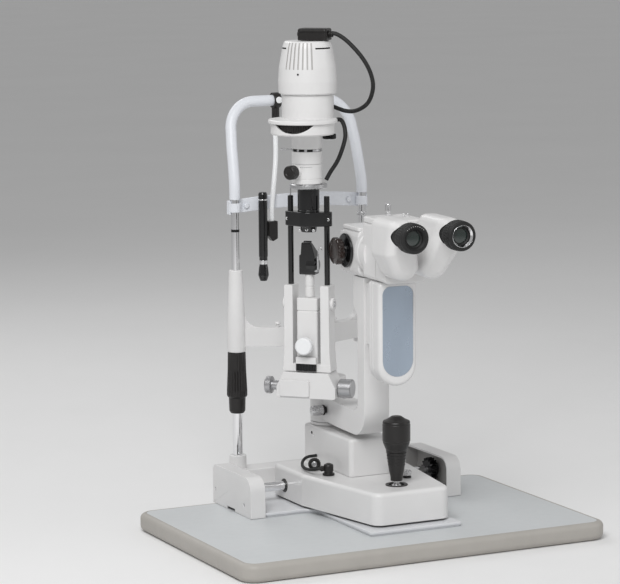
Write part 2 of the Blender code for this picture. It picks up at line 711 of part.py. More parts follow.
def build_yoke(tilt):
    """The fork that tilts on the base block's front edge and carries both rods and the mirror.

    Its frame has its origin on the hinge line, under the fork's front lower edge.
    """
    shift = YOKE_HINGE_FORWARD
    low = 0.0006
    top = YOKE_TOP - BASE_TOP
    depth = (shift - 0.014, shift + 0.014)
    yoke = block("tilt_yoke", (-0.0335, depth[0], low), (0.0335, depth[1], 0.012), white_paint(),
                 tilt)
    for side in (-1, 1):
        xs = sorted((side * 0.0205, side * 0.0335))
        leg = block("yoke_leg", (xs[0], depth[0], 0.004), (xs[1], depth[1], top), white_paint(),
                    tilt)
        boss = turned("yoke_boss", rod(0.009, *sorted((side * 0.032, side * 0.0375))),
                      white_paint(), tilt, MEDIUM, "X", (0, shift, 0.296 - BASE_TOP))
        join(yoke, leg, boss)
    centre = block("centre_block", (-0.0155, shift - 0.012, 0.006),
                   (0.0155, shift + 0.012, CENTRE_BLOCK_TOP - BASE_TOP), white_paint(), tilt)
    join(yoke, centre)
    for side in (-1, 1):
        hole = turned("rod_hole", rod(ROD_RADIUS + GAP, top - 0.014, top + 0.01), white_paint(),
                      tilt, SMALL, "Z", (side * ROD_X, shift, 0))
        cut(yoke, hole)
    return shift


def build_mirror(tilt, shift):
    """Post, black holder with a 45 degree seat that faces the patient, and the mirror on it."""
    low = CENTRE_BLOCK_TOP - BASE_TOP + GAP
    profile = [(0, low), (0.0068, low), (0.0068, 0.1385), (0, 0.1385)]
    holder = turned("mirror_holder", profile, black_metal(), tilt, SMALL, "Z", (0, shift + 0.002, 0))
    outline = [(shift + 0.013, 0.1385), (shift - 0.007, 0.1385), (shift - 0.007, 0.184),
               (shift - 0.002, 0.184), (shift + 0.013, 0.169)]
    head = slab("mirror_head", outline[::-1], -0.0125, 0.0125, black_metal(), tilt, "X")
    join(holder, head)
    seat = [(shift - 0.0010, 0.1845), (shift + 0.0005, 0.186), (shift + 0.0145, 0.172),
            (shift + 0.0135, 0.1700)]
    slab("mirror", seat[::-1], -0.0105, 0.0105, mirror_silver(), tilt, "X")


def build_rods(tilt, shift):
    low, top = YOKE_TOP - BASE_TOP - 0.013, CROSS_TOP - BASE_TOP
    plate_low = CROSS_LOW - BASE_TOP
    outline = hull([(-0.0285, shift, 0.0060), (0.0285, shift, 0.0060), (0, shift - 0.001, 0.0182)],
                   MEDIUM)
    plate = slab("rod_frame", outline, plate_low, top, black_metal(), tilt)
    for side in (-1, 1):
        end = FLANGE_LOW - BASE_TOP - 0.012 if side < 0 else top + 0.004
        bar = turned("rod_helper", rod(ROD_RADIUS, low, end), black_metal(), tilt, SMALL, "Z",
                     (side * ROD_X, shift, 0))
        join(plate, bar)
    barrel_hole = turned("barrel_hole", rod(0.0158, plate_low - 0.01, top + 0.01), black_metal(),
                         tilt, MEDIUM, "Z", (0, shift, 0))
    cut(plate, barrel_hole)
    low, top = 0.398 - BASE_TOP, FLANGE_LOW - BASE_TOP
    profile = [(0.0080, low), (0.0105, low), (0.0125, low + 0.008), (0.0155, low + 0.009),
               (0.0155, top), (0.0265, top), (0.0265, RING_LOW - BASE_TOP - GAP),
               (0.0080, RING_LOW - BASE_TOP - GAP)]
    turned("lens_barrel", profile, black_metal(), tilt, MEDIUM, "Z", (0, shift, 0))


def build_slit_unit(tilt, shift):
    """Turning ring with its handle and two jaws, and the fixed tube above it."""
    forward = shift - TUBE_FORWARD
    turn = frame("slit_ring_frame", tilt, (0, forward, 0))
    low, top = RING_LOW - BASE_TOP, RING_TOP - BASE_TOP - GAP
    shell = turned("slit_ring", ring(0.0165, TUBE_RADIUS, low, top), white_paint(), turn, LARGE)
    angle = radians(-110)
    middle = (low + top) / 2 + 0.004
    handle = turned("slit_handle", [(0, 0.018), (0.0060, 0.018), (0.0060, 0.0275),
                                    (0.0088, 0.0285), (0.0100, 0.0300), (0.0100, 0.0400),
                                    (0.0088, 0.0415), (0, 0.0415)],
                    black_plastic(), turn, MEDIUM, "X")
    handle.rotation_euler = (0, 0, angle)
    handle.location = (0, 0, middle)
    join(shell, handle)
    for side in (-1, 1):
        name = "left" if side < 0 else "right"
        jaw = frame(f"slit_jaw_frame_{name}", turn)
        near, far = sorted((side * 0.0002, side * 0.0075))
        block(f"slit_jaw_{name}", (near, -0.006, low + 0.012), (far, 0.006, low + 0.0135),
              satin_steel(), jaw)
    low, top = RING_TOP - BASE_TOP, COLUMN_TOP - BASE_TOP
    profile = [(0.0165, low), (TUBE_RADIUS, low), (TUBE_RADIUS, 0.5125 - BASE_TOP),
               (0.0190, 0.5125 - BASE_TOP), (0.0190, 0.5165 - BASE_TOP),
               (TUBE_RADIUS, 0.5165 - BASE_TOP), (TUBE_RADIUS, top - GAP), (0.0165, top - GAP)]
    turned("slit_column", profile, white_paint(), tilt, LARGE, "Z", (0, forward, 0))
    lever = frame("filter_lever_frame", tilt, (0, forward, 0))
    low, high = 0.5130 - BASE_TOP, 0.5160 - BASE_TOP
    band = turned("filter_lever", ring(0.0193, 0.0212, low, high), satin_steel(), lever, LARGE)
    arm = block("lever_arm", (-0.039, -0.0015, low + 0.0003), (-0.0200, 0.0015, high - 0.0003),
                satin_steel(), lever)
    join(band, arm)


def build_disc_housing(tilt, shift):
    """Eccentric housing of the aperture disc, with the collar that the lamp stands on."""
    forward = shift - DISC_FORWARD
    low, top = COLUMN_TOP - BASE_TOP, DISC_TOP - BASE_TOP
    profile = [(0, low), (DISC_RADIUS - 0.002, low), (DISC_RADIUS, low + 0.002),
               (DISC_RADIUS, top - 0.005), (0.0485, top - 0.005), (0.0485, top - 0.001),
               (0.0475, top), (0, top)]
    housing = turned("disc_housing", profile, white_paint(), tilt, LARGE, "Z", (0, forward, 0))
    collar = turned("lamp_collar", rod(COLLAR_RADIUS, top - 0.004, COLLAR_TOP - BASE_TOP - GAP),
                    white_paint(), tilt, LARGE, "Z", (0, shift, 0))
    join(housing, collar)
    floor, roof, offset = top - 0.0165, top - 0.0055, 0.0055
    chamber = turned("disc_chamber", rod(0.0365, floor, roof), white_paint(), tilt, LARGE, "Z",
                     (0, forward - offset, 0))
    light = turned("light_path", rod(0.0150, low - 0.01, COLLAR_TOP - BASE_TOP + 0.01),
                   white_paint(), tilt, MEDIUM, "Z", (0, shift - TUBE_FORWARD, 0))
    sill, window = roof - 0.0005, circle((0, low + 0.0423), 0.0388, 48)
    crescent = slab("disc_window", [p for p in window if p[1] < sill], 0.026 - forward,
                    0.060 - forward, white_paint(), tilt, "Y")
    cut(housing, chamber, light, crescent)
    wheel = frame("aperture_wheel_frame", tilt, (0, forward - offset, 0))
    disc = turned("aperture_wheel", ring(0.0030, 0.0355, floor + 0.001, roof - 0.001),
                  black_plastic(), wheel, LARGE)
    reach = DISC_FORWARD + offset - TUBE_FORWARD
    for i in range(4):
        angle = pi / 2 + i * pi / 2
        hole = turned("aperture_hole", rod(0.0070 - 0.0015 * i, floor - 0.01, roof + 0.01),
                      black_plastic(), wheel, MEDIUM, "Z",
                      (reach * cos(angle), reach * sin(angle), 0))
        cut(disc, hole)
    filters = frame("filter_wheel_frame", tilt, (0.0285, shift + 0.009, 0))
    turned("filter_wheel", [(0, low - 0.0085), (0.0085, low - 0.0085), (0.0095, low - 0.0075),
                            (0.0095, low - 0.0020), (0.0085, low - 0.0010), (0.0025, low - 0.0010),
                            (0.0025, low - GAP), (0, low - GAP)],
           black_metal(), filters, MEDIUM)


def build_lamp(tilt, shift):
    """Lamp cap, the lamp inside it, the angled connector on top and its lead."""
    low, top = COLLAR_TOP - BASE_TOP, LAMP_TOP - BASE_TOP
    outer = [(0.0375, low), (0.0408, low + 0.002), (0.0414, low + 0.018), (0.0400, low + 0.038),
             (0.0350, low + 0.066), (0.0328, low + 0.0725), (0.0310, top)]
    inner = [(0.0080, top), (0.0080, top - 0.003), (0.0290, top - 0.003), (0.0330, low + 0.060),
             (0.0370, low + 0.038), (0.0384, low + 0.018), (0.0350, low)]
    turned("lamp_cap", outer + inner, white_paint(), tilt, LARGE, "Z", (0, shift, 0))
    bulb = [(0, low + 0.012), (0.0085, low + 0.015), (0.0120, low + 0.024), (0.0085, low + 0.034),
            (0.0075, low + 0.036), (0.0200, low + 0.040), (0.0200, low + 0.046),
            (0.0070, low + 0.048), (0.0070, top + 0.0005), (0, top + 0.0005)]
    turned("lamp", bulb, glass(), tilt, MEDIUM, "Z", (0, shift, 0))
    block("lamp_connector", (-0.0105, shift - 0.013, top + 0.0010),
          (0.0325, shift + 0.013, top + 0.0175), black_plastic(), tilt, 0.003, 2)
    h = BASE_TOP
    route = [(0.0329, shift, 0.6765 - h), (0.0422, shift, 0.6765 - h),
             (0.0557, shift + 0.002, 0.6682 - h), (0.0712, shift + 0.004, 0.6529 - h),
             (0.0827, shift + 0.006, 0.6375 - h), (0.0897, shift + 0.009, 0.6219 - h),
             (0.0920, shift + 0.013, 0.6062 - h), (0.0887, shift + 0.018, 0.5923 - h),
             (0.0814, shift + 0.024, 0.5801 - h), (0.0705, shift + 0.030, 0.5717 - h),
             (0.0565, shift + 0.035, 0.5664 - h), (0.0429, shift + 0.039, 0.5662 - h),
             (0.0316, shift + 0.042, 0.5689 - h), (0.0180, shift + 0.045, 0.5725 - h),
             (0.0040, shift + 0.047, 0.5705 - h), (-0.0040, shift + 0.048, 0.5620 - h),
             (-0.0010, shift + 0.048, 0.5510 - h), (0.0090, shift + 0.047, 0.5465 - h),
             (0.0200, shift + 0.044, 0.5490 - h), (0.0300, shift + 0.040, 0.5535 - h),
             (0.0375, shift + 0.036, 0.5530 - h), (0.0430, shift + 0.032, 0.5455 - h),
             (0.0458, shift + 0.028, 0.5370 - h), (0.0467, shift + 0.024, 0.5279 - h),
             (0.0437, shift + 0.019, 0.5127 - h), (0.0370, shift + 0.018, 0.4966 - h),
             (0.0274, shift + 0.016, 0.4815 - h), (0.0216, shift + 0.014, 0.4704 - h)]
    tube("lamp_lead", smooth_route(route, 0.012), 0.0030, rubber(), tilt)


def build_projector(column):
    arm = frame("illumination_frame", column, (0, 0, 0), (0, 0, ILLUMINATION_SWING))
    build_illumination_arm(arm)
    hinge = -(TOWER_FORWARD + YOKE_HINGE_FORWARD)
    tilt = frame("tilt_frame", arm, (0, hinge, BASE_TOP))
    shift = build_yoke(tilt)
    knob = frame("centring_knob_frame", tilt, (0, shift, 0.238 - BASE_TOP))
    turned("centring_knob", [(0, 0.0123), (0.0050, 0.0123), (0.0050, 0.0180), (0.0110, 0.0190),
                             (0.0122, 0.0205), (0.0122, 0.0290), (0.0105, 0.0305), (0, 0.0305)],
           pale_plastic(), knob, MEDIUM, "Y")
    latch = frame("tilt_latch_frame", tilt, (0, 0.0015, 0.0210))
    block("tilt_latch", (-0.0150, -0.0040, -0.0190), (0.0150, 0.0000, 0.0010), black_metal(), latch,
          0.001, 1)
    build_mirror(tilt, shift)
    build_rods(tilt, shift)
    build_slit_unit(tilt, shift)
    build_disc_housing(tilt, shift)
    build_lamp(tilt, shift)


# ---------------------------------------------------------------- chin and forehead rest

def frame_route():
    """The headrest tube: up from both posts, leaning towards the patient, with round shoulders."""
    shoulder, half = 0.043, POST_X - 0.005
    side = [(POST_X, POST_TOP + GAP), (POST_X, POST_TOP + 0.015)]
    side += [(POST_X - 0.003 * t, POST_TOP + 0.015 + 0.062 * t) for t in (0.34, 0.67, 1.0)]
    arc = [(half - shoulder + shoulder * cos(a), FRAME_TOP - shoulder + shoulder * sin(a))
           for a in (i * pi / 12 for i in range(7))]
    flat = [((half - shoulder) * t, FRAME_TOP) for t in (0.5, 0.0)]
    right = side + arc + flat
    outline = right + [(-x, z) for x, z in right[-2::-1]]
    rise = FRAME_TOP - POST_TOP - 0.015
    return [(x, POST_Y + FRAME_LEAN * max(0, (z - POST_TOP - 0.015) / rise) ** 1.2, z)
            for x, z in outline]


def build_headrest(base):
    table_rear, front, rear = TABLE_DEPTH / 2, POST_Y - 0.021, POST_Y + 0.017
    profile = [(front, 0.034), (front, 0.006), (table_rear + 0.0006, 0.006),
               (table_rear + 0.0006, -0.020), (rear, -0.020), (rear, 0.034)]
    plinth = slab("chinrest_base", profile, -0.122, 0.122, white_paint(), base, "X")
    soften(plinth, 0.002, 1, 50)
    for side in (-1, 1):
        collar = turned("post_collar", rod(0.0125, 0.030, 0.054), white_paint(), base, MEDIUM, "Z",
                        (side * POST_X, POST_Y, 0))
        join(plinth, collar)
    for side in (-1, 1):
        hole = turned("post_hole", rod(POST_FOOT_RADIUS + GAP, 0.012, 0.06), white_paint(), base,
                      MEDIUM, "Z", (side * POST_X, POST_Y, 0))
        cut(plinth, hole)
        name = "post_left" if side < 0 else "post_right"
        profile = [(0, 0.0123), (POST_FOOT_RADIUS, 0.0123), (POST_FOOT_RADIUS, 0.205),
                   (POST_RADIUS, 0.207), (POST_RADIUS, POST_TOP), (0, POST_TOP)]
        turned(name, profile, chrome(), base, MEDIUM, "Z", (side * POST_X, POST_Y, 0))
    tube("headrest_frame", frame_route(), FRAME_RADIUS, white_paint(), base)


def build_forehead_band(base):
    """A band behind both posts that bows a little to the operator, with a clip round each post."""
    thickness, bow, rows = 0.003, 0.010, 12
    back = POST_Y + POST_RADIUS + GAP
    near, far = [], []
    for i in range(rows + 1):
        x = -POST_X - 0.009 + (2 * POST_X + 0.018) * i / rows
        dip = bow * max(0, 1 - (x / (POST_X - 0.008)) ** 2)
        near.append((x, back - dip))
        far.append((x, back + thickness - dip))
    band = slab("forehead_band", near + far[::-1], BAND_LOW, BAND_HIGH, pale_plastic(), base)
    for vertex in band.data.vertices:
        vertex.co.z += 0.007 * max(0, 1 - (vertex.co.x / POST_X) ** 2)
    for side in (-1, 1):
        xs = sorted((side * (POST_X + POST_RADIUS + GAP), side * (POST_X + 0.009)))
        lip = block("band_lip", (xs[0], POST_Y - 0.001, BAND_LOW), (xs[1], back + 0.001, BAND_HIGH),
                    pale_plastic(), base)
        join(band, lip)


def build_chin_rest(base):
    """Both sleeves, the bowed bar between them and the grip that screws it up and down."""
    chin = frame("chin_frame", base, (0, POST_Y, 0))
    middle = -CHIN_BOW
    end = POST_X - 0.0095
    outline = [(end, -0.009), (end, 0.0085), (0.012, middle + 0.011), (-0.012, middle + 0.011),
               (-end, 0.0085), (-end, -0.009), (-0.012, middle - 0.009), (0.012, middle - 0.009)]
    bar = slab("chin_carrier", outline[::-1], BAR_LOW, BAR_HIGH, white_paint(), chin)
    for side in (-1, 1):
        sleeve = turned("chin_sleeve", [(0, SLEEVE_LOW), (0.0135, SLEEVE_LOW), (0.0135, 0.240),
                                        (0.0120, 0.275), (0.0100, SLEEVE_TOP - 0.001),
                                        (0.0092, SLEEVE_TOP), (0, SLEEVE_TOP)],
                        white_paint(), chin, MEDIUM, "Z", (side * POST_X, 0, 0))
        join(bar, sleeve)
    for side in (-1, 1):
        pin = turned("paper_pin", [(0, BAR_HIGH - 0.004), (0.0020, BAR_HIGH - 0.004),
                                   (0.0020, BAR_HIGH + 0.003), (0.0050, BAR_HIGH + 0.0045),
                                   (0.0035, BAR_HIGH + 0.0075), (0, BAR_HIGH + 0.0080)],
                     white_paint(), chin, SMALL, "Z", (side * 0.046, middle * (1 - 0.046 / POST_X), 0))
        join(bar, pin)
    for side in (-1, 1):
        bore = turned("sleeve_bore", [(0, 0.19), (POST_FOOT_RADIUS + GAP, 0.19),
                                      (POST_FOOT_RADIUS + GAP, SLEEVE_TOP - 0.010),
                                      (POST_RADIUS + GAP, SLEEVE_TOP - 0.008),
                                      (POST_RADIUS + GAP, 0.34), (0, 0.34)],
                      white_paint(), chin, MEDIUM, "Z", (side * POST_X, 0, 0))
        combine(bar, bore, "DIFFERENCE", "MANIFOLD")
    cup = slab("chin_cup", hull([(-0.020, middle + 0.004, 0.015), (0.020, middle + 0.004, 0.015),
                                 (0, middle + 0.016, 0.020)], SMALL),
               BAR_HIGH + GAP, BAR_HIGH + 0.014, pale_plastic(), chin)
    dish = turned("cup_dish", [(0, 0.010), (0.012, 0.0045), (0.024, 0.0125), (0.030, 0.020),
                               (0, 0.020)], pale_plastic(), chin, MEDIUM, "Z",
                  (0, middle + 0.011, BAR_HIGH + GAP))
    cut(cup, dish)
    grip = frame("chin_grip_frame", chin, (-POST_X, 0, 0))
    bore = POST_FOOT_RADIUS + GAP
    top = SLEEVE_LOW - GAP
    turned("chin_grip", [(bore, 0.1165), (0.0100, 0.1165), (0.0118, 0.1200), (0.0124, 0.1400),
                         (0.0146, 0.1420), (0.0150, 0.1500), (0.0135, 0.1800), (0.0128, top),
                         (bore, top)], black_plastic(), grip, MEDIUM)


def build_fixation(base):
    """A lamp for the patient to look at, on a hanging rod clamped to the headrest tube."""
    top_y = POST_Y + FRAME_LEAN
    clamp = turned("fixation_clamp", ring(FRAME_RADIUS + 0.0005, 0.0115, -0.0055, 0.0055),
                   black_plastic(), base, MEDIUM, "X", (FIXATION_X, top_y, FRAME_TOP))
    stem = turned("clamp_stem", rod(0.0055, FRAME_TOP - 0.030, FRAME_TOP - 0.0095),
                  black_plastic(), base, SMALL, "Z", (FIXATION_X, top_y, 0))
    join(clamp, stem)
    swing = frame("fixation_frame", base, (FIXATION_X, top_y, 0))
    low = 0.3975
    rod_top = FRAME_TOP - 0.0305
    route = [(0, 0, rod_top), (-0.001, 0, rod_top - 0.010), (-0.006, -0.012, rod_top - 0.030),
             (-0.013, -0.026, rod_top - 0.055), (-0.021, -0.037, rod_top - 0.085),
             (-0.028, -0.043, low + 0.020), (-0.028, -0.043, low - 0.004)]
    hanger = tube("hanger_helper", smooth_route(route, 0.010), 0.0036, white_paint(), swing)
    arm = block("fixation_rod", (-0.0350, -0.0490, low - 0.030), (-0.0210, -0.0370, low),
                white_paint(), swing)
    shaped = bpy.data.meshes.new_from_object(
        hanger.evaluated_get(bpy.context.evaluated_depsgraph_get()))
    bpy.data.objects.remove(hanger)
    solid = bpy.data.objects.new("hanger", shaped)
    bpy.context.collection.objects.link(solid)
    solid.parent = swing
    join(arm, solid)
    lamp = frame("fixation_lamp_frame", swing, (-0.0350 - GAP, -0.043, low - 0.012))
    turned("fixation_lamp", [(0.0040, -0.0752), (0.0050, -0.0752), (0.0078, -0.0672),
                             (0.0066, -0.0552), (0.0060, -0.0512), (0.0060, -0.0412),
                             (0.0066, -0.0392), (0.0066, 0.0538), (0.0050, 0.0548), (0, 0.0548),
                             (0, -0.0692), (0.0040, -0.0692)],
           black_metal(), lamp, SMALL, "Z", (-0.0070, 0, 0))


# ---------------------------------------------------------------- whole object

def build():
    for obj in list(bpy.data.objects):
        bpy.data.objects.remove(obj)
    base = frame("instrument", None, (0, 0, TABLE_THICKNESS))
    build_table(base)
    build_slide_plate(base)
    build_rail_cover(base, "rail_cover_left", -1)
    build_rail_cover(base, "rail_cover_right", 1)
    cross = build_axle(base)
    carriage = build_carriage(cross)
    column = build_column(carriage)
    build_microscope(column)
    build_projector(column)
    build_headrest(base)
    build_forehead_band(base)
    build_chin_rest(base)
    build_fixation(base)


build()
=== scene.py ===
"""Looks of the slit lamp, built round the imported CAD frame. Metres, +Z up, in the frame's own axes."""

import json
from math import acos, atan2, cos, pi, radians, sin, tan, tau

import bmesh
import bpy
from mathutils import Matrix, Vector


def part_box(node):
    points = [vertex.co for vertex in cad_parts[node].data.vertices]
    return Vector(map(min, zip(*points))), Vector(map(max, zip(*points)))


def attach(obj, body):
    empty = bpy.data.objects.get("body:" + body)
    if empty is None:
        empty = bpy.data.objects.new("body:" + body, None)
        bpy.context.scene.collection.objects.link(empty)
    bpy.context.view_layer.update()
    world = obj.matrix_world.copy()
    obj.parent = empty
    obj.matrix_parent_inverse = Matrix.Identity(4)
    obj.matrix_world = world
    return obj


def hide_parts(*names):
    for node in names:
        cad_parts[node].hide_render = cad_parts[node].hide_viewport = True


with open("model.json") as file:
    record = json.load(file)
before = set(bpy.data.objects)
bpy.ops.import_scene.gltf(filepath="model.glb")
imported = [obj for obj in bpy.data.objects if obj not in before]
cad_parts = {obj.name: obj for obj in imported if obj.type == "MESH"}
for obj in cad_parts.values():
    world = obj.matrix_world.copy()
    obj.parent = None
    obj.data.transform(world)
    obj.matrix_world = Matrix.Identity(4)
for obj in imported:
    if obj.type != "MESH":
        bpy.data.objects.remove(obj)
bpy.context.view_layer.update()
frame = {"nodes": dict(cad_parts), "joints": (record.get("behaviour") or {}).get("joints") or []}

JOINTS = {joint["name"]: joint for joint in frame["joints"]}
NODES = frame["nodes"]
TOUCH = 0.0003
MOST_LOOKS = 3
FLOOR_REACH = 60
PIVOT_HEIGHT = 0.296
SLIT_KNOB_HEIGHT = 0.176
LIMB_TOP = 0.150
EYE_HEIGHT, EYE_OFFSET = 0.4195, 0.0345
SLIT_RADIUS, SLIT_BORE = 0.0215, 0.0165
BAND_LOW, BAND_HIGH = 0.409, 0.429
HEADREST_RADIUS = 0.008
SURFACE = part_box("table_top")[1].z + TOUCH
AXIS = JOINTS["microscope_swing"]["pos_m"]
BASE = Matrix.Translation((0, 0, SURFACE))


def arm_frame(joint):
    """An arm's own axes: X along the joint's axis, -Y forward, Z up from the table where it swings."""
    side = JOINTS[joint]["axis"]
    turn = Matrix.Rotation(atan2(side[1], side[0]), 4, "Z")
    return Matrix.Translation((AXIS[0], AXIS[1], SURFACE)) @ turn


SCOPE = arm_frame("arm_lock_turn")
TOWER = arm_frame("slit_width_turn")
TOWER_Y = (TOWER.inverted() @ Vector(JOINTS["slit_width_turn"]["pos_m"])).y


def span(node, place=BASE):
    """Lowest and highest corner of a CAD node in a local frame."""
    back = place.inverted()
    columns = list(zip(*(back @ v.co for v in NODES[node].data.vertices)))
    return Vector([min(c) for c in columns]), Vector([max(c) for c in columns])


# ---------------------------------------------------------------- outlines

def rounded(points, closed=True, radius=0.0):
    """The outline with round corners. A point may carry its own corner radius as a third number."""
    corners = [Vector(p[:2]) for p in points]
    radii = [p[2] if len(p) > 2 else radius for p in points]
    outline = []
    for i, (corner, size) in enumerate(zip(corners, radii)):
        before = corners[i - 1] - corner
        after = corners[(i + 1) % len(corners)] - corner
        end_point = not closed and i in (0, len(corners) - 1)
        if size <= 0 or end_point or before.length * after.length < 1e-12:
            outline.append(corner)
            continue
        angle = before.angle(after)
        if angle > pi - 0.02:
            outline.append(corner)
            continue
        reach = min(size / tan(angle / 2), 0.49 * before.length, 0.49 * after.length)
        turn = reach * tan(angle / 2)
        middle = (before.normalized() + after.normalized()).normalized()
        centre = corner + middle * (turn / sin(angle / 2))
        start = corner + before.normalized() * reach - centre
        end = corner + after.normalized() * reach - centre
        first = atan2(start.y, start.x)
        sweep = (atan2(end.y, end.x) - first + pi) % tau - pi
        count = max(3, min(18, round(abs(sweep) / (pi / 2) * (3 + turn * 700))))
        for k in range(count + 1):
            a = first + sweep * k / count
            outline.append(centre + turn * Vector((cos(a), sin(a))))
    return [tuple(p) for p in outline]


def around(corners, inset=0.0, steps=10):
    """The convex outline round circles (x, y, radius) given anticlockwise, pulled in by inset."""
    outline = []
    normals = []
    for (x, y, r), (nx, ny, nr) in zip(corners, corners[1:] + corners[:1]):
        run = Vector((nx - x, ny - y))
        normals.append(atan2(run.y, run.x) - acos(max(-1, min(1, (r - nr) / run.length))))
    for i, (x, y, r) in enumerate(corners):
        first, sweep = normals[i - 1], (normals[i] - normals[i - 1]) % tau
        size = max(r - inset, 1e-5)
        for k in range(steps + 1):
            a = first + sweep * k / steps
            outline.append((x + size * cos(a), y + size * sin(a)))
    return outline


def box_corners(low, high, radius):
    r = radius
    return [(low[0] + r, low[1] + r, r), (high[0] - r, low[1] + r, r), (high[0] - r, high[1] - r, r),
            (low[0] + r, high[1] - r, r)]


def rod(radius, low, high):
    """The profile of a plain solid cylinder."""
    return [(0, low), (radius, low), (radius, high), (0, high)]


def pipe(inner, outer, low, high):
    """The profile of a plain hollow cylinder."""
    return [(inner, low), (outer, low), (outer, high), (inner, high)]


def middle_of(low, high):
    return [(a + b) / 2 for a, b in zip(low, high)]


def mirrored(profile, side):
    """The profile with its heights taken to one side, kept running the same way round."""
    line = [(p[0], side * p[1], *p[2:]) for p in profile]
    return line if side > 0 else line[::-1]


def edge_profile(low, high, low_radius, high_radius, steps=5):
    """(inset, height) pairs of a wall with a rounded lower and upper edge."""
    profile = []
    for k in range(steps + 1):
        a = pi / 2 * k / steps
        profile.append((low_radius * (1 - sin(a)), low + low_radius * (1 - cos(a))))
    for k in range(steps + 1):
        a = pi / 2 * k / steps
        profile.append((high_radius * (1 - cos(a)), high - high_radius * (1 - sin(a))))
    return profile


# ---------------------------------------------------------------- solids

PLANES = {
    "Z": Matrix(((1, 0, 0), (0, 1, 0), (0, 0, 1))),
    "Y": Matrix(((1, 0, 0), (0, 0, -1), (0, 1, 0))),
    "X": Matrix(((0, 0, 1), (1, 0, 0), (0, 1, 0))),
}


def linked(name, data):
    """A new object in the scene's own collection."""
    obj = bpy.data.objects.new(name, data)
    bpy.context.scene.collection.objects.link(obj)
    return obj


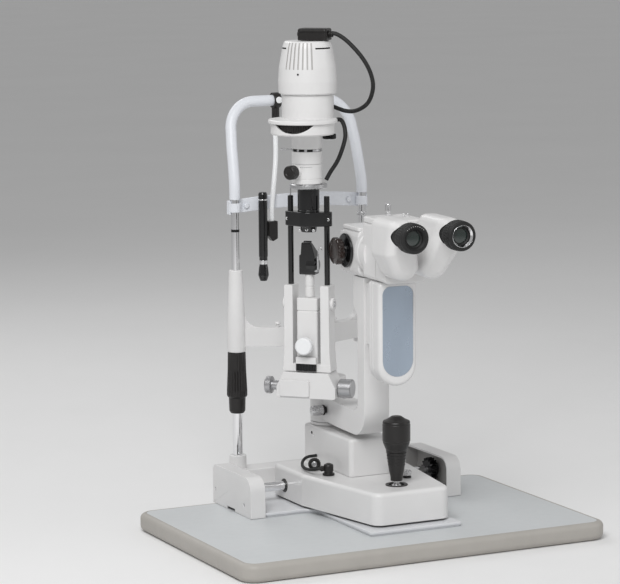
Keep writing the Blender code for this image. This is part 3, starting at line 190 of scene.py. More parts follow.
class Shape:
    """Geometry gathered for one piece.

    Along Z outlines are (x, y). Along Y they are (x, z), and heights are distances forward, to -Y.
    Along X they are (y, z).
    """

    def __init__(self):
        self.bm = bmesh.new()
        self.shells = 0

    def _loops(self, loops, along, at, look, ring=False):
        """Skins a row of vertex loops. A loop of one point closes the end to a tip."""
        self.shells += 1
        turn = Matrix.Translation(at) @ PLANES[along].to_4x4()
        rows = [[self.bm.verts.new(turn @ Vector(p)) for p in loop] for loop in loops]
        faces = []
        pairs = list(zip(rows, rows[1:])) + ([(rows[-1], rows[0])] if ring else [])
        for a, b in pairs:
            count = max(len(a), len(b))
            for i in range(count):
                j = (i + 1) % count
                corners = [a[i % len(a)], a[j % len(a)], b[j % len(b)], b[i % len(b)]]
                kept = list(dict.fromkeys(corners))
                if len(kept) > 2:
                    faces.append(self.bm.faces.new(kept))
        if not ring:
            faces += [self.bm.faces.new(row) for row in (rows[0], rows[-1]) if len(row) > 2]
        for face in faces:
            face.material_index = look
        bmesh.ops.recalc_face_normals(self.bm, faces=faces)
        return self

    def turn(self, profile, steps=48, along="Z", at=(0, 0, 0), fillet=0.0004, flutes=None, look=0):
        """A (radius, height) profile turned about an axis. flutes is (count, depth, low, high)."""
        closed = profile[0][0] > 1e-7 and profile[-1][0] > 1e-7
        line = rounded(profile, closed, fillet)
        if flutes:
            steps = flutes[0] * 6
        loops = []
        for r, z in line:
            if r < 1e-6:
                loops.append([(0, 0, z)])
                continue
            loop = []
            for k in range(steps):
                a = tau * k / steps
                size = r
                if flutes and flutes[2] < z < flutes[3]:
                    size -= flutes[1] * max(0.0, cos(flutes[0] * a)) ** 0.7
                loop.append((size * cos(a), size * sin(a), z))
            loops.append(loop)
        return self._loops(loops, along, at, look, closed)

    def slab(self, outline, low, high, along="Z", at=(0, 0, 0), look=0):
        loops = [[(x, y, level) for x, y in outline] for level in (low, high)]
        return self._loops(loops, along, at, look)

    def shell(self, corners, profile, along="Z", at=(0, 0, 0), steps=10, look=0):
        """Round-cornered body: one loop for each (inset, height)."""
        loops = [[(x, y, level) for x, y in around(corners, inset, steps)] for inset, level in profile]
        return self._loops(loops, along, at, look)

    def box(self, low, high, look=0):
        outline = [(low[0], low[1]), (high[0], low[1]), (high[0], high[1]), (low[0], high[1])]
        return self.slab(outline, low[2], high[2], look=look)

    def tube(self, points, radius, sides=20, look=0):
        """A round tube along the points. radius may be a list, one for each point."""
        path = [Vector(p) for p in points]
        sizes = radius if isinstance(radius, list) else [radius] * len(path)
        loops = []
        side = None
        for i, point in enumerate(path):
            ahead = (path[min(i + 1, len(path) - 1)] - path[max(i - 1, 0)]).normalized()
            if side is None:
                side = ahead.orthogonal().normalized()
            side = (side - ahead * side.dot(ahead)).normalized()
            up = ahead.cross(side)
            loops.append([point + sizes[i] * (side * cos(tau * k / sides) + up * sin(tau * k / sides))
                          for k in range(sides)])
        return self._loops(loops, "Z", (0, 0, 0), look)

    def move(self, matrix):
        self.bm.transform(matrix)
        return self

    def each(self, change):
        for vertex in self.bm.verts:
            change(vertex.co)
        return self

    def add(self, other):
        mesh = bpy.data.meshes.new("gathered")
        other.bm.to_mesh(mesh)
        self.bm.from_mesh(mesh)
        bpy.data.meshes.remove(mesh)
        return self

    def cut(self, *others):
        body = plain_object("body", self.bm)
        helpers = [plain_object("cutter", other.bm) for other in others]
        for helper in helpers:
            modifier = body.modifiers.new("Cut", "BOOLEAN")
            modifier.operation = "DIFFERENCE"
            modifier.solver = "EXACT"
            modifier.use_self = self.shells > 1
            modifier.object = helper
        graph = bpy.context.evaluated_depsgraph_get()
        mesh = bpy.data.meshes.new_from_object(body.evaluated_get(graph))
        self.bm = bmesh.new()
        self.bm.from_mesh(mesh)
        bmesh.ops.dissolve_degenerate(self.bm, dist=1e-6, edges=self.bm.edges)
        for obj in [body, *helpers]:
            bpy.data.objects.remove(obj)
        return self

    def make(self, name, looks, body, place=BASE, slot=None, node=None, bevel=0.0, segments=3, angle=38):
        """The finished piece rides on a body. It stands for the CAD node of its name, or the one given."""
        self.bm.transform(place)
        mesh = bpy.data.meshes.new(name)
        self.bm.to_mesh(mesh)
        self.bm.free()
        for entry in looks if isinstance(looks, list) else [looks]:
            mesh.materials.append(entry)
        mesh.shade_smooth()
        if not bevel:
            mesh.set_sharp_from_angle(angle=radians(50))
        obj = linked(name, mesh)
        if bevel:
            modifier = obj.modifiers.new("Bevel", "BEVEL")
            modifier.width = bevel
            modifier.segments = segments
            modifier.limit_method = "ANGLE"
            modifier.angle_limit = radians(angle)
            modifier.miter_outer = "MITER_ARC"
        weighted = obj.modifiers.new("Normals", "WEIGHTED_NORMAL")
        weighted.keep_sharp = not bevel
        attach(obj, body)
        if (node or name) in NODES:
            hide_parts(node or name)
        return obj


def plain_object(name, bm):
    mesh = bpy.data.meshes.new(name)
    bm.to_mesh(mesh)
    bm.free()
    for _ in range(MOST_LOOKS):
        mesh.materials.append(None)
    return linked(name, mesh)


# ---------------------------------------------------------------- materials

def look(name, colour, roughness, metallic=0.0, coat=0.0, grain=(1600, 0.04), cloud=(12, 0.03),
         stretch=(1, 1, 1)):
    """A painted, moulded or metal surface: clouded colour, uneven gloss and a fine bump.

    grain is (scale, strength) of the bump, and cloud is (scale, share) of the change in colour.
    """
    material = bpy.data.materials.new(name)
    material.use_nodes = True
    nodes, links = material.node_tree.nodes, material.node_tree.links
    shader = nodes["Principled BSDF"]
    shader.inputs["Metallic"].default_value = metallic
    shader.inputs["Coat Weight"].default_value = coat
    shader.inputs["Coat Roughness"].default_value = 0.12
    coordinates = nodes.new("ShaderNodeTexCoord")
    mapping = nodes.new("ShaderNodeMapping")
    mapping.inputs["Scale"].default_value = stretch
    links.new(coordinates.outputs["Object"], mapping.inputs["Vector"])

    def noise(scale, detail):
        texture = nodes.new("ShaderNodeTexNoise")
        texture.inputs["Scale"].default_value = scale
        texture.inputs["Detail"].default_value = detail
        links.new(mapping.outputs["Vector"], texture.inputs["Vector"])
        return texture.outputs["Fac"]

    def spread(value, low, high):
        spreader = nodes.new("ShaderNodeMapRange")
        spreader.inputs["From Min"].default_value = 0.3
        spreader.inputs["From Max"].default_value = 0.7
        spreader.inputs["To Min"].default_value = low
        spreader.inputs["To Max"].default_value = high
        links.new(value, spreader.inputs["Value"])
        return spreader.outputs["Result"]

    tint = nodes.new("ShaderNodeVectorMath")
    tint.operation = "SCALE"
    tint.inputs[0].default_value = colour
    links.new(spread(noise(cloud[0], 3), 1 - cloud[1], 1 + cloud[1]), tint.inputs["Scale"])
    links.new(tint.outputs["Vector"], shader.inputs["Base Color"])
    links.new(spread(noise(cloud[0] * 9, 4), roughness * 0.88, min(1, roughness * 1.12)),
              shader.inputs["Roughness"])
    bump = nodes.new("ShaderNodeBump")
    bump.inputs["Strength"].default_value = grain[1]
    bump.inputs["Distance"].default_value = 0.0005
    links.new(noise(grain[0], 2), bump.inputs["Height"])
    links.new(bump.outputs["Normal"], shader.inputs["Normal"])
    return material


PAINT = look("white_enamel", (0.735, 0.730, 0.728), 0.38, coat=0.15, grain=(900, 0.05))
# A darker copy of the white enamel: painted shade inside hollows, seams and grooves.
SHADED_PAINT = look("painted_shade_enamel", (0.46, 0.45, 0.44), 0.55, grain=(900, 0.06))
LAMINATE = look("pale_laminate", (0.60, 0.62, 0.63), 0.42, grain=(700, 0.08), cloud=(9, 0.02))
TABLE_EDGE = look("greige_edge", (0.42, 0.40, 0.37), 0.5, grain=(1200, 0.10), cloud=(25, 0.04))
PLATE = look("plate_white", (0.70, 0.71, 0.73), 0.34, coat=0.1, grain=(900, 0.04))
COOL_PLASTIC = look("cool_plastic", (0.74, 0.76, 0.80), 0.36, grain=(1400, 0.05))
KNOB_WHITE = look("knob_white", (0.84, 0.85, 0.86), 0.32, coat=0.2, grain=(1400, 0.03))
CHROME = look("chrome", (0.86, 0.86, 0.87), 0.07, 1.0, grain=(500, 0.01), cloud=(20, 0.02))
STEEL = look("satin_steel", (0.62, 0.62, 0.63), 0.27, 1.0, grain=(2600, 0.10), cloud=(60, 0.05))
MACHINED = look("machined_steel", (0.50, 0.50, 0.51), 0.33, 1.0, grain=(2200, 0.15), stretch=(1, 1, 6))
BLACK_PLASTIC = look("black_plastic", (0.010, 0.0085, 0.008), 0.36, grain=(1500, 0.12),
                     cloud=(30, 0.12))
BLACK_GLOSS = look("black_gloss", (0.006, 0.006, 0.0065), 0.13, coat=0.3, grain=(900, 0.02),
                   cloud=(30, 0.1))
BROWN_GLOSS = look("brown_gloss", (0.014, 0.006, 0.004), 0.12, coat=0.4, grain=(900, 0.02),
                   cloud=(40, 0.2))
BLACK_METAL = look("black_metal", (0.010, 0.010, 0.011), 0.25, 0.3, coat=0.15, grain=(1800, 0.06),
                   cloud=(30, 0.1))
RUBBER = look("black_rubber", (0.008, 0.008, 0.008), 0.62, grain=(1900, 0.25), cloud=(60, 0.15))
# Near black: painted shade inside bores, holes, slots and gaps; also the dark marks on the filter lever.
GAP_SHADE_AND_MARKS = look("painted_gap_shade_and_marks", (0.005, 0.005, 0.005), 0.8, grain=(900, 0.05))
PANEL = look("panel_silver", (0.40, 0.47, 0.56), 0.30, 0.75, coat=0.5, grain=(2600, 0.05),
             cloud=(18, 0.10), stretch=(1, 1, 0.3))
DOT_WHITE = look("dot_white", (0.78, 0.78, 0.76), 0.5, grain=(900, 0.02))
MIRROR = look("front_mirror", (0.93, 0.93, 0.93), 0.02, 1.0, grain=(60, 0.003), cloud=(8, 0.01))


def glass(name, tint, roughness, dark):
    """Coated optical glass. dark mixes in the black inside of a barrel."""
    material = look(name, tint, roughness, coat=1.0, grain=(40, 0.002), cloud=(20, 0.02))
    shader = material.node_tree.nodes["Principled BSDF"]
    shader.inputs["Transmission Weight"].default_value = 1 - dark
    shader.inputs["IOR"].default_value = 1.5
    return material


LENS = glass("coated_lens", (0.018, 0.030, 0.026), 0.03, 0.85)
CLEAR = glass("lamp_glass", (0.90, 0.93, 0.92), 0.05, 0.1)


# ---------------------------------------------------------------- table and rails

def build_table():
    low, high = span("table_top")
    corner, seam = 0.025, 0.0083
    corners = box_corners(low, high, corner)
    profile = edge_profile(low.z, high.z, 0.009, 0.0075, 6)
    profile += [(seam, high.z), (seam + 0.0002, high.z - 0.0004), (seam + 0.0006, high.z - 0.0004),
                (seam + 0.0008, high.z)]
    top = Shape().shell(corners, profile, steps=14, look=1)
    for face in top.bm.faces:
        if len(face.verts) > 8 and face.calc_center_median().z > (low.z + high.z) / 2:
            face.material_index = 0
    top.make("table_top", [LAMINATE, TABLE_EDGE], "table", slot="table_laminate")


def plate_outline(inset):
    """A tongue towards the operator and a wide rear part between the rail covers."""
    low, high = span("slide_plate")
    half = span("rail_cover_right")[0].x - TOUCH - inset
    front, shoulder, rear = low.y + inset, 0.060 + inset, high.y - inset
    left, right, fillet = -0.0685 + inset, 0.074 - inset, 0.020
    return rounded([(left, front, 0.004), (right, front, 0.004), (right, shoulder, fillet),
                    (half, shoulder, 0.003), (half, rear, 0.003), (-half, rear, 0.003),
                    (-half, shoulder, 0.003), (left, shoulder, fillet)])


def build_slide_plate():
    thickness = 0.006
    plate = Shape().slab(plate_outline(0), 0.0018, thickness)
    plate.make("slide_plate", PLATE, "table", slot="pale_plastic", bevel=0.0012)
    foot = Shape().slab(plate_outline(0.0016), 0.0, 0.0019)
    foot.make("plate_foot", PLATE, "table", slot="pale_plastic")
    module, axle = 0.002, JOINTS["axle_roll"]["pos_m"]
    pitch, pitch_line = pi * module, axle[2] - SURFACE - 8 * module
    teeth = []
    for i in range(15):
        middle = axle[1] + (i - 7) * pitch
        for side, height in ((-0.34, -1.3), (-0.12, 0.8), (0.12, 0.8), (0.34, -1.3)):
            teeth.append((middle + side * pitch, pitch_line + height * module))
    outline = [(teeth[0][0], 0), *teeth, (teeth[-1][0], 0)]
    gear_x = span("cross_axle")[1].x - 0.010
    for name, side in (("rack_left", -1), ("rack_right", 1)):
        rack = Shape().slab(outline, side * gear_x - 0.006, side * gear_x + 0.006, "X")
        rack.make(name, STEEL, "table", slot="satin_steel", bevel=0.0002, segments=1)


def socket_screw(radius, depth, at, along):
    """A small cap screw with a round socket, its head from 0 to depth."""
    profile = [(0, -0.001), (radius, -0.001), (radius, depth), (radius * 0.45, depth),
               (radius * 0.45, depth * 0.3), (0, depth * 0.3)]
    return Shape().turn(profile, 20, along, at, 0.0002)


def side_screw(radius, depth, side, at):
    """A cap screw that faces out along X, to the left for side -1."""
    turn = Matrix.Rotation(pi if side < 0 else 0, 4, "Z")
    return socket_screw(radius, depth, (0, 0, 0), "X").move(Matrix.Translation(at) @ turn)


def build_rail_cover(name, side):
    low, high = span(name)
    outline = rounded([(high.y, 0, 0.001), (high.y, high.z, 0.009), (low.y + 0.001, high.z, 0.019),
                       (low.y, 0, 0.001)])
    cover = Shape().slab(outline, low.x, high.x, "X")
    wall = 0.003
    inner = rounded([(high.y - wall, -0.01, 0), (high.y - wall, high.z - wall, 0.006),
                     (low.y + wall, high.z - wall, 0.016), (low.y + wall, -0.01, 0)])
    hollow_x = (low.x + wall, high.x + 0.01) if side < 0 else (low.x - 0.01, high.x - wall)
    # The inside of the cover gets the darker enamel: painted shade.
    hollow = Shape().slab(inner, *hollow_x, "X", look=1)
    outer = low.x if side < 0 else high.x
    notch_y = (low.y + high.y) / 2 + 0.004
    notch = Shape().box((outer - 0.004, notch_y - 0.014, -0.01),
                        (outer + 0.004, notch_y + 0.014, 0.004))
    spots = [(low.y + 0.024, 0.016), (high.y - 0.008, 0.021)]
    wells = [Shape().turn(rod(0.0028, -0.002, 0.002), 24, "X", (outer, y, z)) for y, z in spots]
    cover.cut(hollow, notch, *wells)
    cover.make(name, [PAINT, SHADED_PAINT], "table", slot="white_paint", bevel=0.0022, segments=4,
               angle=50)
    screws = Shape()
    for y, z in spots:
        screws.add(side_screw(0.0024, 0.0012, side, (outer - side * 0.0019, y, z)))
    screws.make(name + "_screws", STEEL, "table", slot="satin_steel")


def build_axle():
    low, high = span("axle_sleeve")
    centre = (0, *middle_of(low, high)[1:])
    radius = (high.z - low.z) / 2
    sleeve = Shape().turn(pipe(0.0045, radius, low.x, high.x), 48, "X", centre, 0.0006)
    sleeve.make("axle_sleeve", CHROME, "cross_slide", slot="chrome")
    low, high = span("cross_axle")
    bar = Shape().turn(rod(0.004, low.x, high.x), 32, "X", centre)
    teeth, module = 16, 0.002
    pitch_radius = teeth * module / 2
    outline = []
    for i in range(teeth):
        middle = -pi / 2 + (i + 0.5) * tau / teeth
        for turn, r in ((-0.27, pitch_radius - 1.25 * module), (-0.09, pitch_radius + 0.85 * module),
                        (0.09, pitch_radius + 0.85 * module), (0.27, pitch_radius - 1.25 * module)):
            a = middle + turn * tau / teeth
            outline.append((r * cos(a), r * sin(a)))
    for side in (-1, 1):
        middle = side * (high.x - 0.010)
        bar.slab(outline, middle - 0.005, middle + 0.005, "X", centre, 1)
        ends = sorted((side * (high.x - 0.004), side * (high.x - 0.0005)))
        bar.turn(pipe(0.0041, 0.0105, *ends), 40, "X", centre, 0.0006, look=1)
    bar.make("cross_axle", [MACHINED, BLACK_METAL], "axle", slot="satin_steel")


# ---------------------------------------------------------------- carriage

def build_carriage():
    low, high = span("carriage_cover")
    corner, left, right, shoulder = 0.016, -0.054, 0.067, 0.070
    corners = [(left + corner, low.y + corner, corner), (right - corner, low.y + corner, corner),
               (high.x - corner, shoulder, corner), (high.x - corner, high.y - corner, corner),
               (low.x + corner, high.y - corner, corner), (low.x + corner, shoulder, corner)]
    profile = edge_profile(low.z, high.z, 0.0015, 0.006, 6)
    cover = Shape().shell(corners, profile, steps=9)
    gimbal = JOINTS["joystick_pitch"]["pos_m"]
    axle = JOINTS["axle_roll"]["pos_m"]
    # The inside, the joystick hole and the axle bore get the darker enamel: painted shade.
    hollow = Shape().shell(corners, [(0.003, low.z - 0.01), (0.003, high.z - 0.003)], steps=9, look=1)
    stick = Shape().turn(rod(0.0135, high.z - 0.01, high.z + 0.01), 48, "Z", (gimbal[0], gimbal[1], 0),
                         0, look=1)
    bore = Shape().turn(rod(0.0080, -0.1, 0.1), 40, "X", (0, axle[1], axle[2] - SURFACE), 0, look=1)
    cover.cut(hollow, stick, bore)
    cover.make("carriage_cover", [PAINT, SHADED_PAINT], "carriage", slot="white_paint", bevel=0.0006,
               segments=2, angle=60)
    bush = Shape()
    for ends in ((low.x - 0.0012, low.x + 0.004), (high.x - 0.004, high.x + 0.0012)):
        bush.turn(pipe(0.0069, 0.0098, *ends), 48, "X", (0, axle[1], axle[2] - SURFACE), 0.0005)
    bush.make("axle_bushes", BLACK_PLASTIC, "carriage", slot="black_plastic")
    boot = Shape().turn([(0.0104, high.z - 0.0010), (0.0107, high.z + 0.0004),
                         (0.0120, high.z + 0.0012), (0.0155, high.z + 0.0012),
                         (0.0158, high.z + 0.0002), (0.0130, high.z - 0.0014)], 56, "Z",
                        (gimbal[0], gimbal[1], 0), 0.0003)
    boot.make("joystick_collar", BLACK_PLASTIC, "carriage", slot="black_plastic")

    low, high = span("lift_housing")
    box = Shape().shell(box_corners(low, high, 0.007), edge_profile(low.z, high.z, 0.0008, 0.0042, 6),
                        steps=8)
    # The column bore and the pin hole are near black: painted shade.
    bore = Shape().turn(rod(0.0185, high.z - 0.02, high.z + 0.01), 64, "Z", (0, AXIS[1], 0), 0, look=1)
    well = Shape().turn(rod(0.0022, -0.003, 0.003), 24, "X", (low.x, high.y - 0.028, high.z - 0.010), 0,
                        look=1)
    box.cut(bore, well)
    box.make("lift_housing", [PAINT, GAP_SHADE_AND_MARKS], "carriage", slot="white_paint", bevel=0.0004,
             segments=2, angle=60)
    pins = Shape().turn([(0, high.z - 0.001), (0.0030, high.z - 0.001), (0.0030, high.z + 0.0018),
                         (0.0022, high.z + 0.0024), (0, high.z + 0.0026)], 24, "Z",
                        (high.x - 0.012, low.y + 0.030, 0))
    pins.turn(rod(0.0014, -0.0004, 0.0010), 20, "X", (low.x - 0.0004, high.y - 0.034, high.z - 0.014))
    pins.make("housing_pins", CHROME, "carriage", slot="chrome")

    low, high = span("base_lock_knob")
    middle = (low + high) / 2
    knob = Shape().turn([(0, low.z), (0.0062, low.z), (0.0062, low.z + 0.0022),
                         (0.0040, low.z + 0.0028), (0.0040, low.z + 0.0036)], 32, "Z",
                        (middle.x, middle.y, 0), look=1)
    knob.turn([(0, low.z + 0.0030), (0.0060, low.z + 0.0034), (0.0066, high.z - 0.0016),
               (0.0052, high.z), (0, high.z)], 32, "Z", (middle.x, middle.y, 0),
              flutes=(20, 0.0003, low.z + 0.0030, high.z - 0.0012))
    knob.make("base_lock_knob", [STEEL, BLACK_PLASTIC], "base_lock", slot="satin_steel")


def build_joystick():
    x, y = JOINTS["joystick_pitch"]["pos_m"][:2]
    low, top = span("joystick_grip")[0].z, span("joystick_grip")[1].z
    profile = [(0, low), (0.0084, low, 0.0003), (0.0088, low + 0.006), (0.0102, low + 0.012),
               (0.0106, low + 0.0135), (0.0137, top - 0.052, 0.004), (0.0146, top - 0.0505),
               (0.0146, top - 0.0480), (0.0154, top - 0.0470), (0.0182, top - 0.0400, 0.003),
               (0.0188, top - 0.0385), (0.0188, top - 0.0365), (0.0195, top - 0.0355, 0.0008),
               (0.0195, top - 0.0125, 0.0004), (0.0189, top - 0.0118), (0.0189, top - 0.0108),
               (0.0194, top - 0.0100), (0.0186, top - 0.0078, 0.001), (0.0130, top - 0.0052, 0.001),
               (0.0120, top - 0.0046), (0.0070, top - 0.0012, 0.003), (0, top)]
    grip = Shape().turn(profile, 72, "Z", (x, y, 0), 0.0003)
    for i in range(5):
        level = low + 0.0215 + i * 0.0042
        size = 0.0116 + i * 0.0006
        grip.turn([(size - 0.003, level), (size + 0.0005, level + 0.0006),
                   (size + 0.0006, level + 0.0018), (size - 0.003, level + 0.0026)], 72, "Z", (x, y, 0),
                  0.0002)
    grip.make("joystick_grip", BLACK_PLASTIC, "grip", slot="black_plastic")
    centre = JOINTS["joystick_pitch"]["pos_m"][2] - SURFACE
    shaft = Shape().turn([(0, centre - 0.030), (0.0035, centre - 0.030), (0.0045, centre - 0.012),
                          (0.0080, centre - 0.006, 0.003), (0.0080, centre + 0.006, 0.003),
                          (0.0045, centre + 0.010), (0.0045, centre + 0.030), (0, centre + 0.030)], 40,
                         "Z", (x, y, 0))
    shaft.make("joystick_shaft", STEEL, "joystick", slot="satin_steel")
    ring = Shape().turn(pipe(0.0095, 0.0125, centre - 0.003, centre + 0.003), 48, "Z", (x, y, 0))
    ring.make("gimbal_ring", MACHINED, "gimbal", slot="satin_steel")


def build_base_plug():
    low, high = span("base_plug")
    x, y, _ = middle_of(low, high)
    plug = Shape().turn([(0, low.z), (0.0085, low.z), (0.0085, low.z + 0.0028),
                         (0.0064, low.z + 0.0034), (0.0064, low.z + 0.0060), (0.0069, low.z + 0.0064),
                         (0.0069, high.z - 0.003), (0.0058, high.z - 0.0012, 0.001), (0.0030, high.z),
                         (0, high.z)], 48, "Z", (x, y, 0),
                        flutes=(24, 0.0004, low.z + 0.0062, high.z - 0.0035))
    elbow_at = (x - 0.0065, y + 0.001, low.z + 0.010)
    elbow = Shape().turn([(0, 0), (0.0034, 0), (0.0040, 0.002), (0.0040, 0.0048), (0.0030, 0.006),
                          (0, 0.006)], 32, "X")
    plug.add(elbow.move(Matrix.Translation(elbow_at) @ Matrix.Rotation(pi, 4, "Z")))
    plug.make("base_plug", BLACK_PLASTIC, "carriage", slot="black_plastic")
    ring_at = (x - 0.006, y + 0.033, low.z + 0.0105)
    ring = Shape().turn([(0.0052, -0.003), (0.0088, -0.003), (0.0092, 0.0), (0.0088, 0.003),
                         (0.0052, 0.003)], 40, "Y", fillet=0.0006, flutes=(18, 0.0003, -0.0028, 0.0028))
    ring.turn([(0, 0.0), (0.0042, 0.0), (0.0042, 0.0022), (0.0030, 0.0026), (0, 0.0026)], 32, "Y",
              look=1)
    ring.turn(rod(0.0056, -0.006, 0.0005), 32, "Y")
    turn = Matrix.Rotation(radians(-30), 4, "Z")
    ring.move(Matrix.Translation(ring_at) @ turn)
    ring.make("base_connector", [BLACK_PLASTIC, STEEL], "carriage", slot="black_plastic")


# ---------------------------------------------------------------- cords

def smooth_route(points, step):
    """Points a step apart on the Catmull-Rom curve through the route."""
    route = [Vector(p) for p in points]
    ends = [2 * route[0] - route[1], *route, 2 * route[-1] - route[-2]]
    found = [route[0]]
    for a, b, c, d in zip(ends, ends[1:], ends[2:], ends[3:]):
        count = max(1, round((c - b).length / step))
        for i in range(1, count + 1):
            t = i / count
            found.append(0.5 * (2 * b + (c - a) * t + (2 * a - 5 * b + 4 * c - d) * t ** 2
                                + (3 * b - a - 3 * c + d) * t ** 3))
    return found


def lead(name, route, radius, body, place):
    """A lead as one smooth curve along the CAD route."""
    points = [place @ p for p in smooth_route(route, 0.003)]
    data = bpy.data.curves.new(name, "CURVE")
    data.dimensions = "3D"
    data.bevel_depth = radius
    data.bevel_resolution = 6
    data.use_fill_caps = True
    spline = data.splines.new("POLY")
    spline.points.add(len(points) - 1)
    for point, spot in zip(spline.points, points):
        point.co = (*spot, 1)
    data.materials.append(RUBBER)
    obj = linked(name, data)
    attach(obj, body)
    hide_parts(name)


def build_leads():
    top = span("carriage_cover")[1].z
    route = [(-0.0600, 0.047, top + 0.011), (-0.067, 0.050, top + 0.010), (-0.071, 0.062, top + 0.007),
             (-0.070, 0.082, top + 0.0045), (-0.066, 0.102, top + 0.0045), (-0.058, 0.118, top + 0.008),
             (-0.048, 0.124, top + 0.012), (-0.0331, 0.124, top + 0.013)]
    lead("base_lead", route, 0.0022, "carriage", BASE)
    y = TOWER_Y
    route = [(0.0329, y, 0.6765), (0.0422, y, 0.6765), (0.0557, y + 0.002, 0.6682),
             (0.0712, y + 0.004, 0.6529), (0.0827, y + 0.006, 0.6375), (0.0897, y + 0.009, 0.6219),
             (0.0920, y + 0.013, 0.6062), (0.0887, y + 0.018, 0.5923), (0.0814, y + 0.024, 0.5801),
             (0.0705, y + 0.030, 0.5717), (0.0565, y + 0.035, 0.5664), (0.0429, y + 0.039, 0.5662),
             (0.0316, y + 0.042, 0.5689), (0.0180, y + 0.045, 0.5725), (0.0040, y + 0.047, 0.5705),
             (-0.0040, y + 0.048, 0.5620), (-0.0010, y + 0.048, 0.5510), (0.0090, y + 0.047, 0.5465),
             (0.0200, y + 0.044, 0.5490), (0.0300, y + 0.040, 0.5535), (0.0375, y + 0.036, 0.5530),
             (0.0430, y + 0.032, 0.5455), (0.0458, y + 0.028, 0.5370), (0.0467, y + 0.024, 0.5279),
             (0.0437, y + 0.019, 0.5127), (0.0370, y + 0.018, 0.4966), (0.0274, y + 0.016, 0.4815),
             (0.0216, y + 0.014, 0.4704)]
    lead("lamp_lead", route, 0.0030, "tilt", TOWER)


# ---------------------------------------------------------------- lift column and microscope

def build_column():
    box_top = span("lift_housing")[1].z
    low, high = span("lift_column", SCOPE)
    hub = 0.028
    profile = [(0.0055, low.z), (0.018, low.z), (0.018, box_top + TOUCH), (hub, box_top + TOUCH, 0.001),
               (hub, 0.1127, 0.001), (0.010, 0.1127), (0.010, high.z), (0, high.z), (0, 0.108),
               (0.0055, 0.108)]
    column = Shape().turn(profile, 64)
    for face in column.bm.faces:
        middle = face.calc_center_median()
        if middle.z > box_top and middle.xy.length > 0.012:
            face.material_index = 1
    column.make("lift_column", [STEEL, PAINT], "column", SCOPE, "satin_steel")


def build_microscope_arm():
    low, high = span("microscope_arm", SCOPE)
    half, front, top = 0.019, -low.y, high.z
    outline = [(0, low.z + 0.006), (-0.040, low.z + 0.003), (-0.075, low.z + 0.002),
               (-front, low.z + 0.002, 0.037), (-front, top), (-0.130, top), (-0.130, 0.298, 0.006),
               (-0.1436, 0.286, 0.010), (-0.1436, 0.151, 0.013), (0, 0.151)]
    limb = Shape().slab(rounded(outline), -half, half, "X")
    limb.turn([(0, low.z), (0.028, low.z, 0.001), (0.028, 0.1575, 0.001), (0, 0.1575)], 64)
    # The bore is near black: painted shade.
    bore = Shape().turn(rod(0.0103, 0.1, 0.17), 40, look=1)
    limb.cut(bore)
    limb.make("microscope_arm", [PAINT, GAP_SHADE_AND_MARKS], "microscope", SCOPE, "white_paint", bevel=0.0052,
              segments=5, angle=50)
    pin = Shape().turn([(0, LIMB_TOP), (0.0026, LIMB_TOP), (0.0026, 0.1522), (0.0018, 0.1530),
                        (0, 0.1532)], 24, "Z", (0.004, -0.046, 0))
    pin.turn([(0, LIMB_TOP), (0.0016, LIMB_TOP), (0.0016, 0.1518), (0, 0.1522)], 20, "Z",
             (-0.009, -0.118, 0))
    pin.make("limb_pins", CHROME, "microscope", SCOPE, "chrome")
    low, high = span("arm_lock_knob", SCOPE)
    at = (0, *middle_of(low, high)[1:])
    knob = Shape().turn([(0, high.x), (0.0048, high.x), (0.0048, high.x - 0.003),
                         (0.0075, high.x - 0.003), (0.0075, high.x - 0.005), (0, high.x - 0.005)], 40,
                        "X", at, look=1)
    knob.turn([(0, high.x - 0.005), (0.0068, high.x - 0.0052), (0.0072, high.x - 0.0065),
               (0.0075, low.x + 0.0030), (0.0066, low.x + 0.0006), (0.0050, low.x), (0, low.x)], 48,
              "X", at, flutes=(22, 0.0003, low.x + 0.0035, high.x - 0.0062))
    knob.make("arm_lock_knob", [STEEL, BLACK_PLASTIC], "arm_lock", SCOPE, "satin_steel")


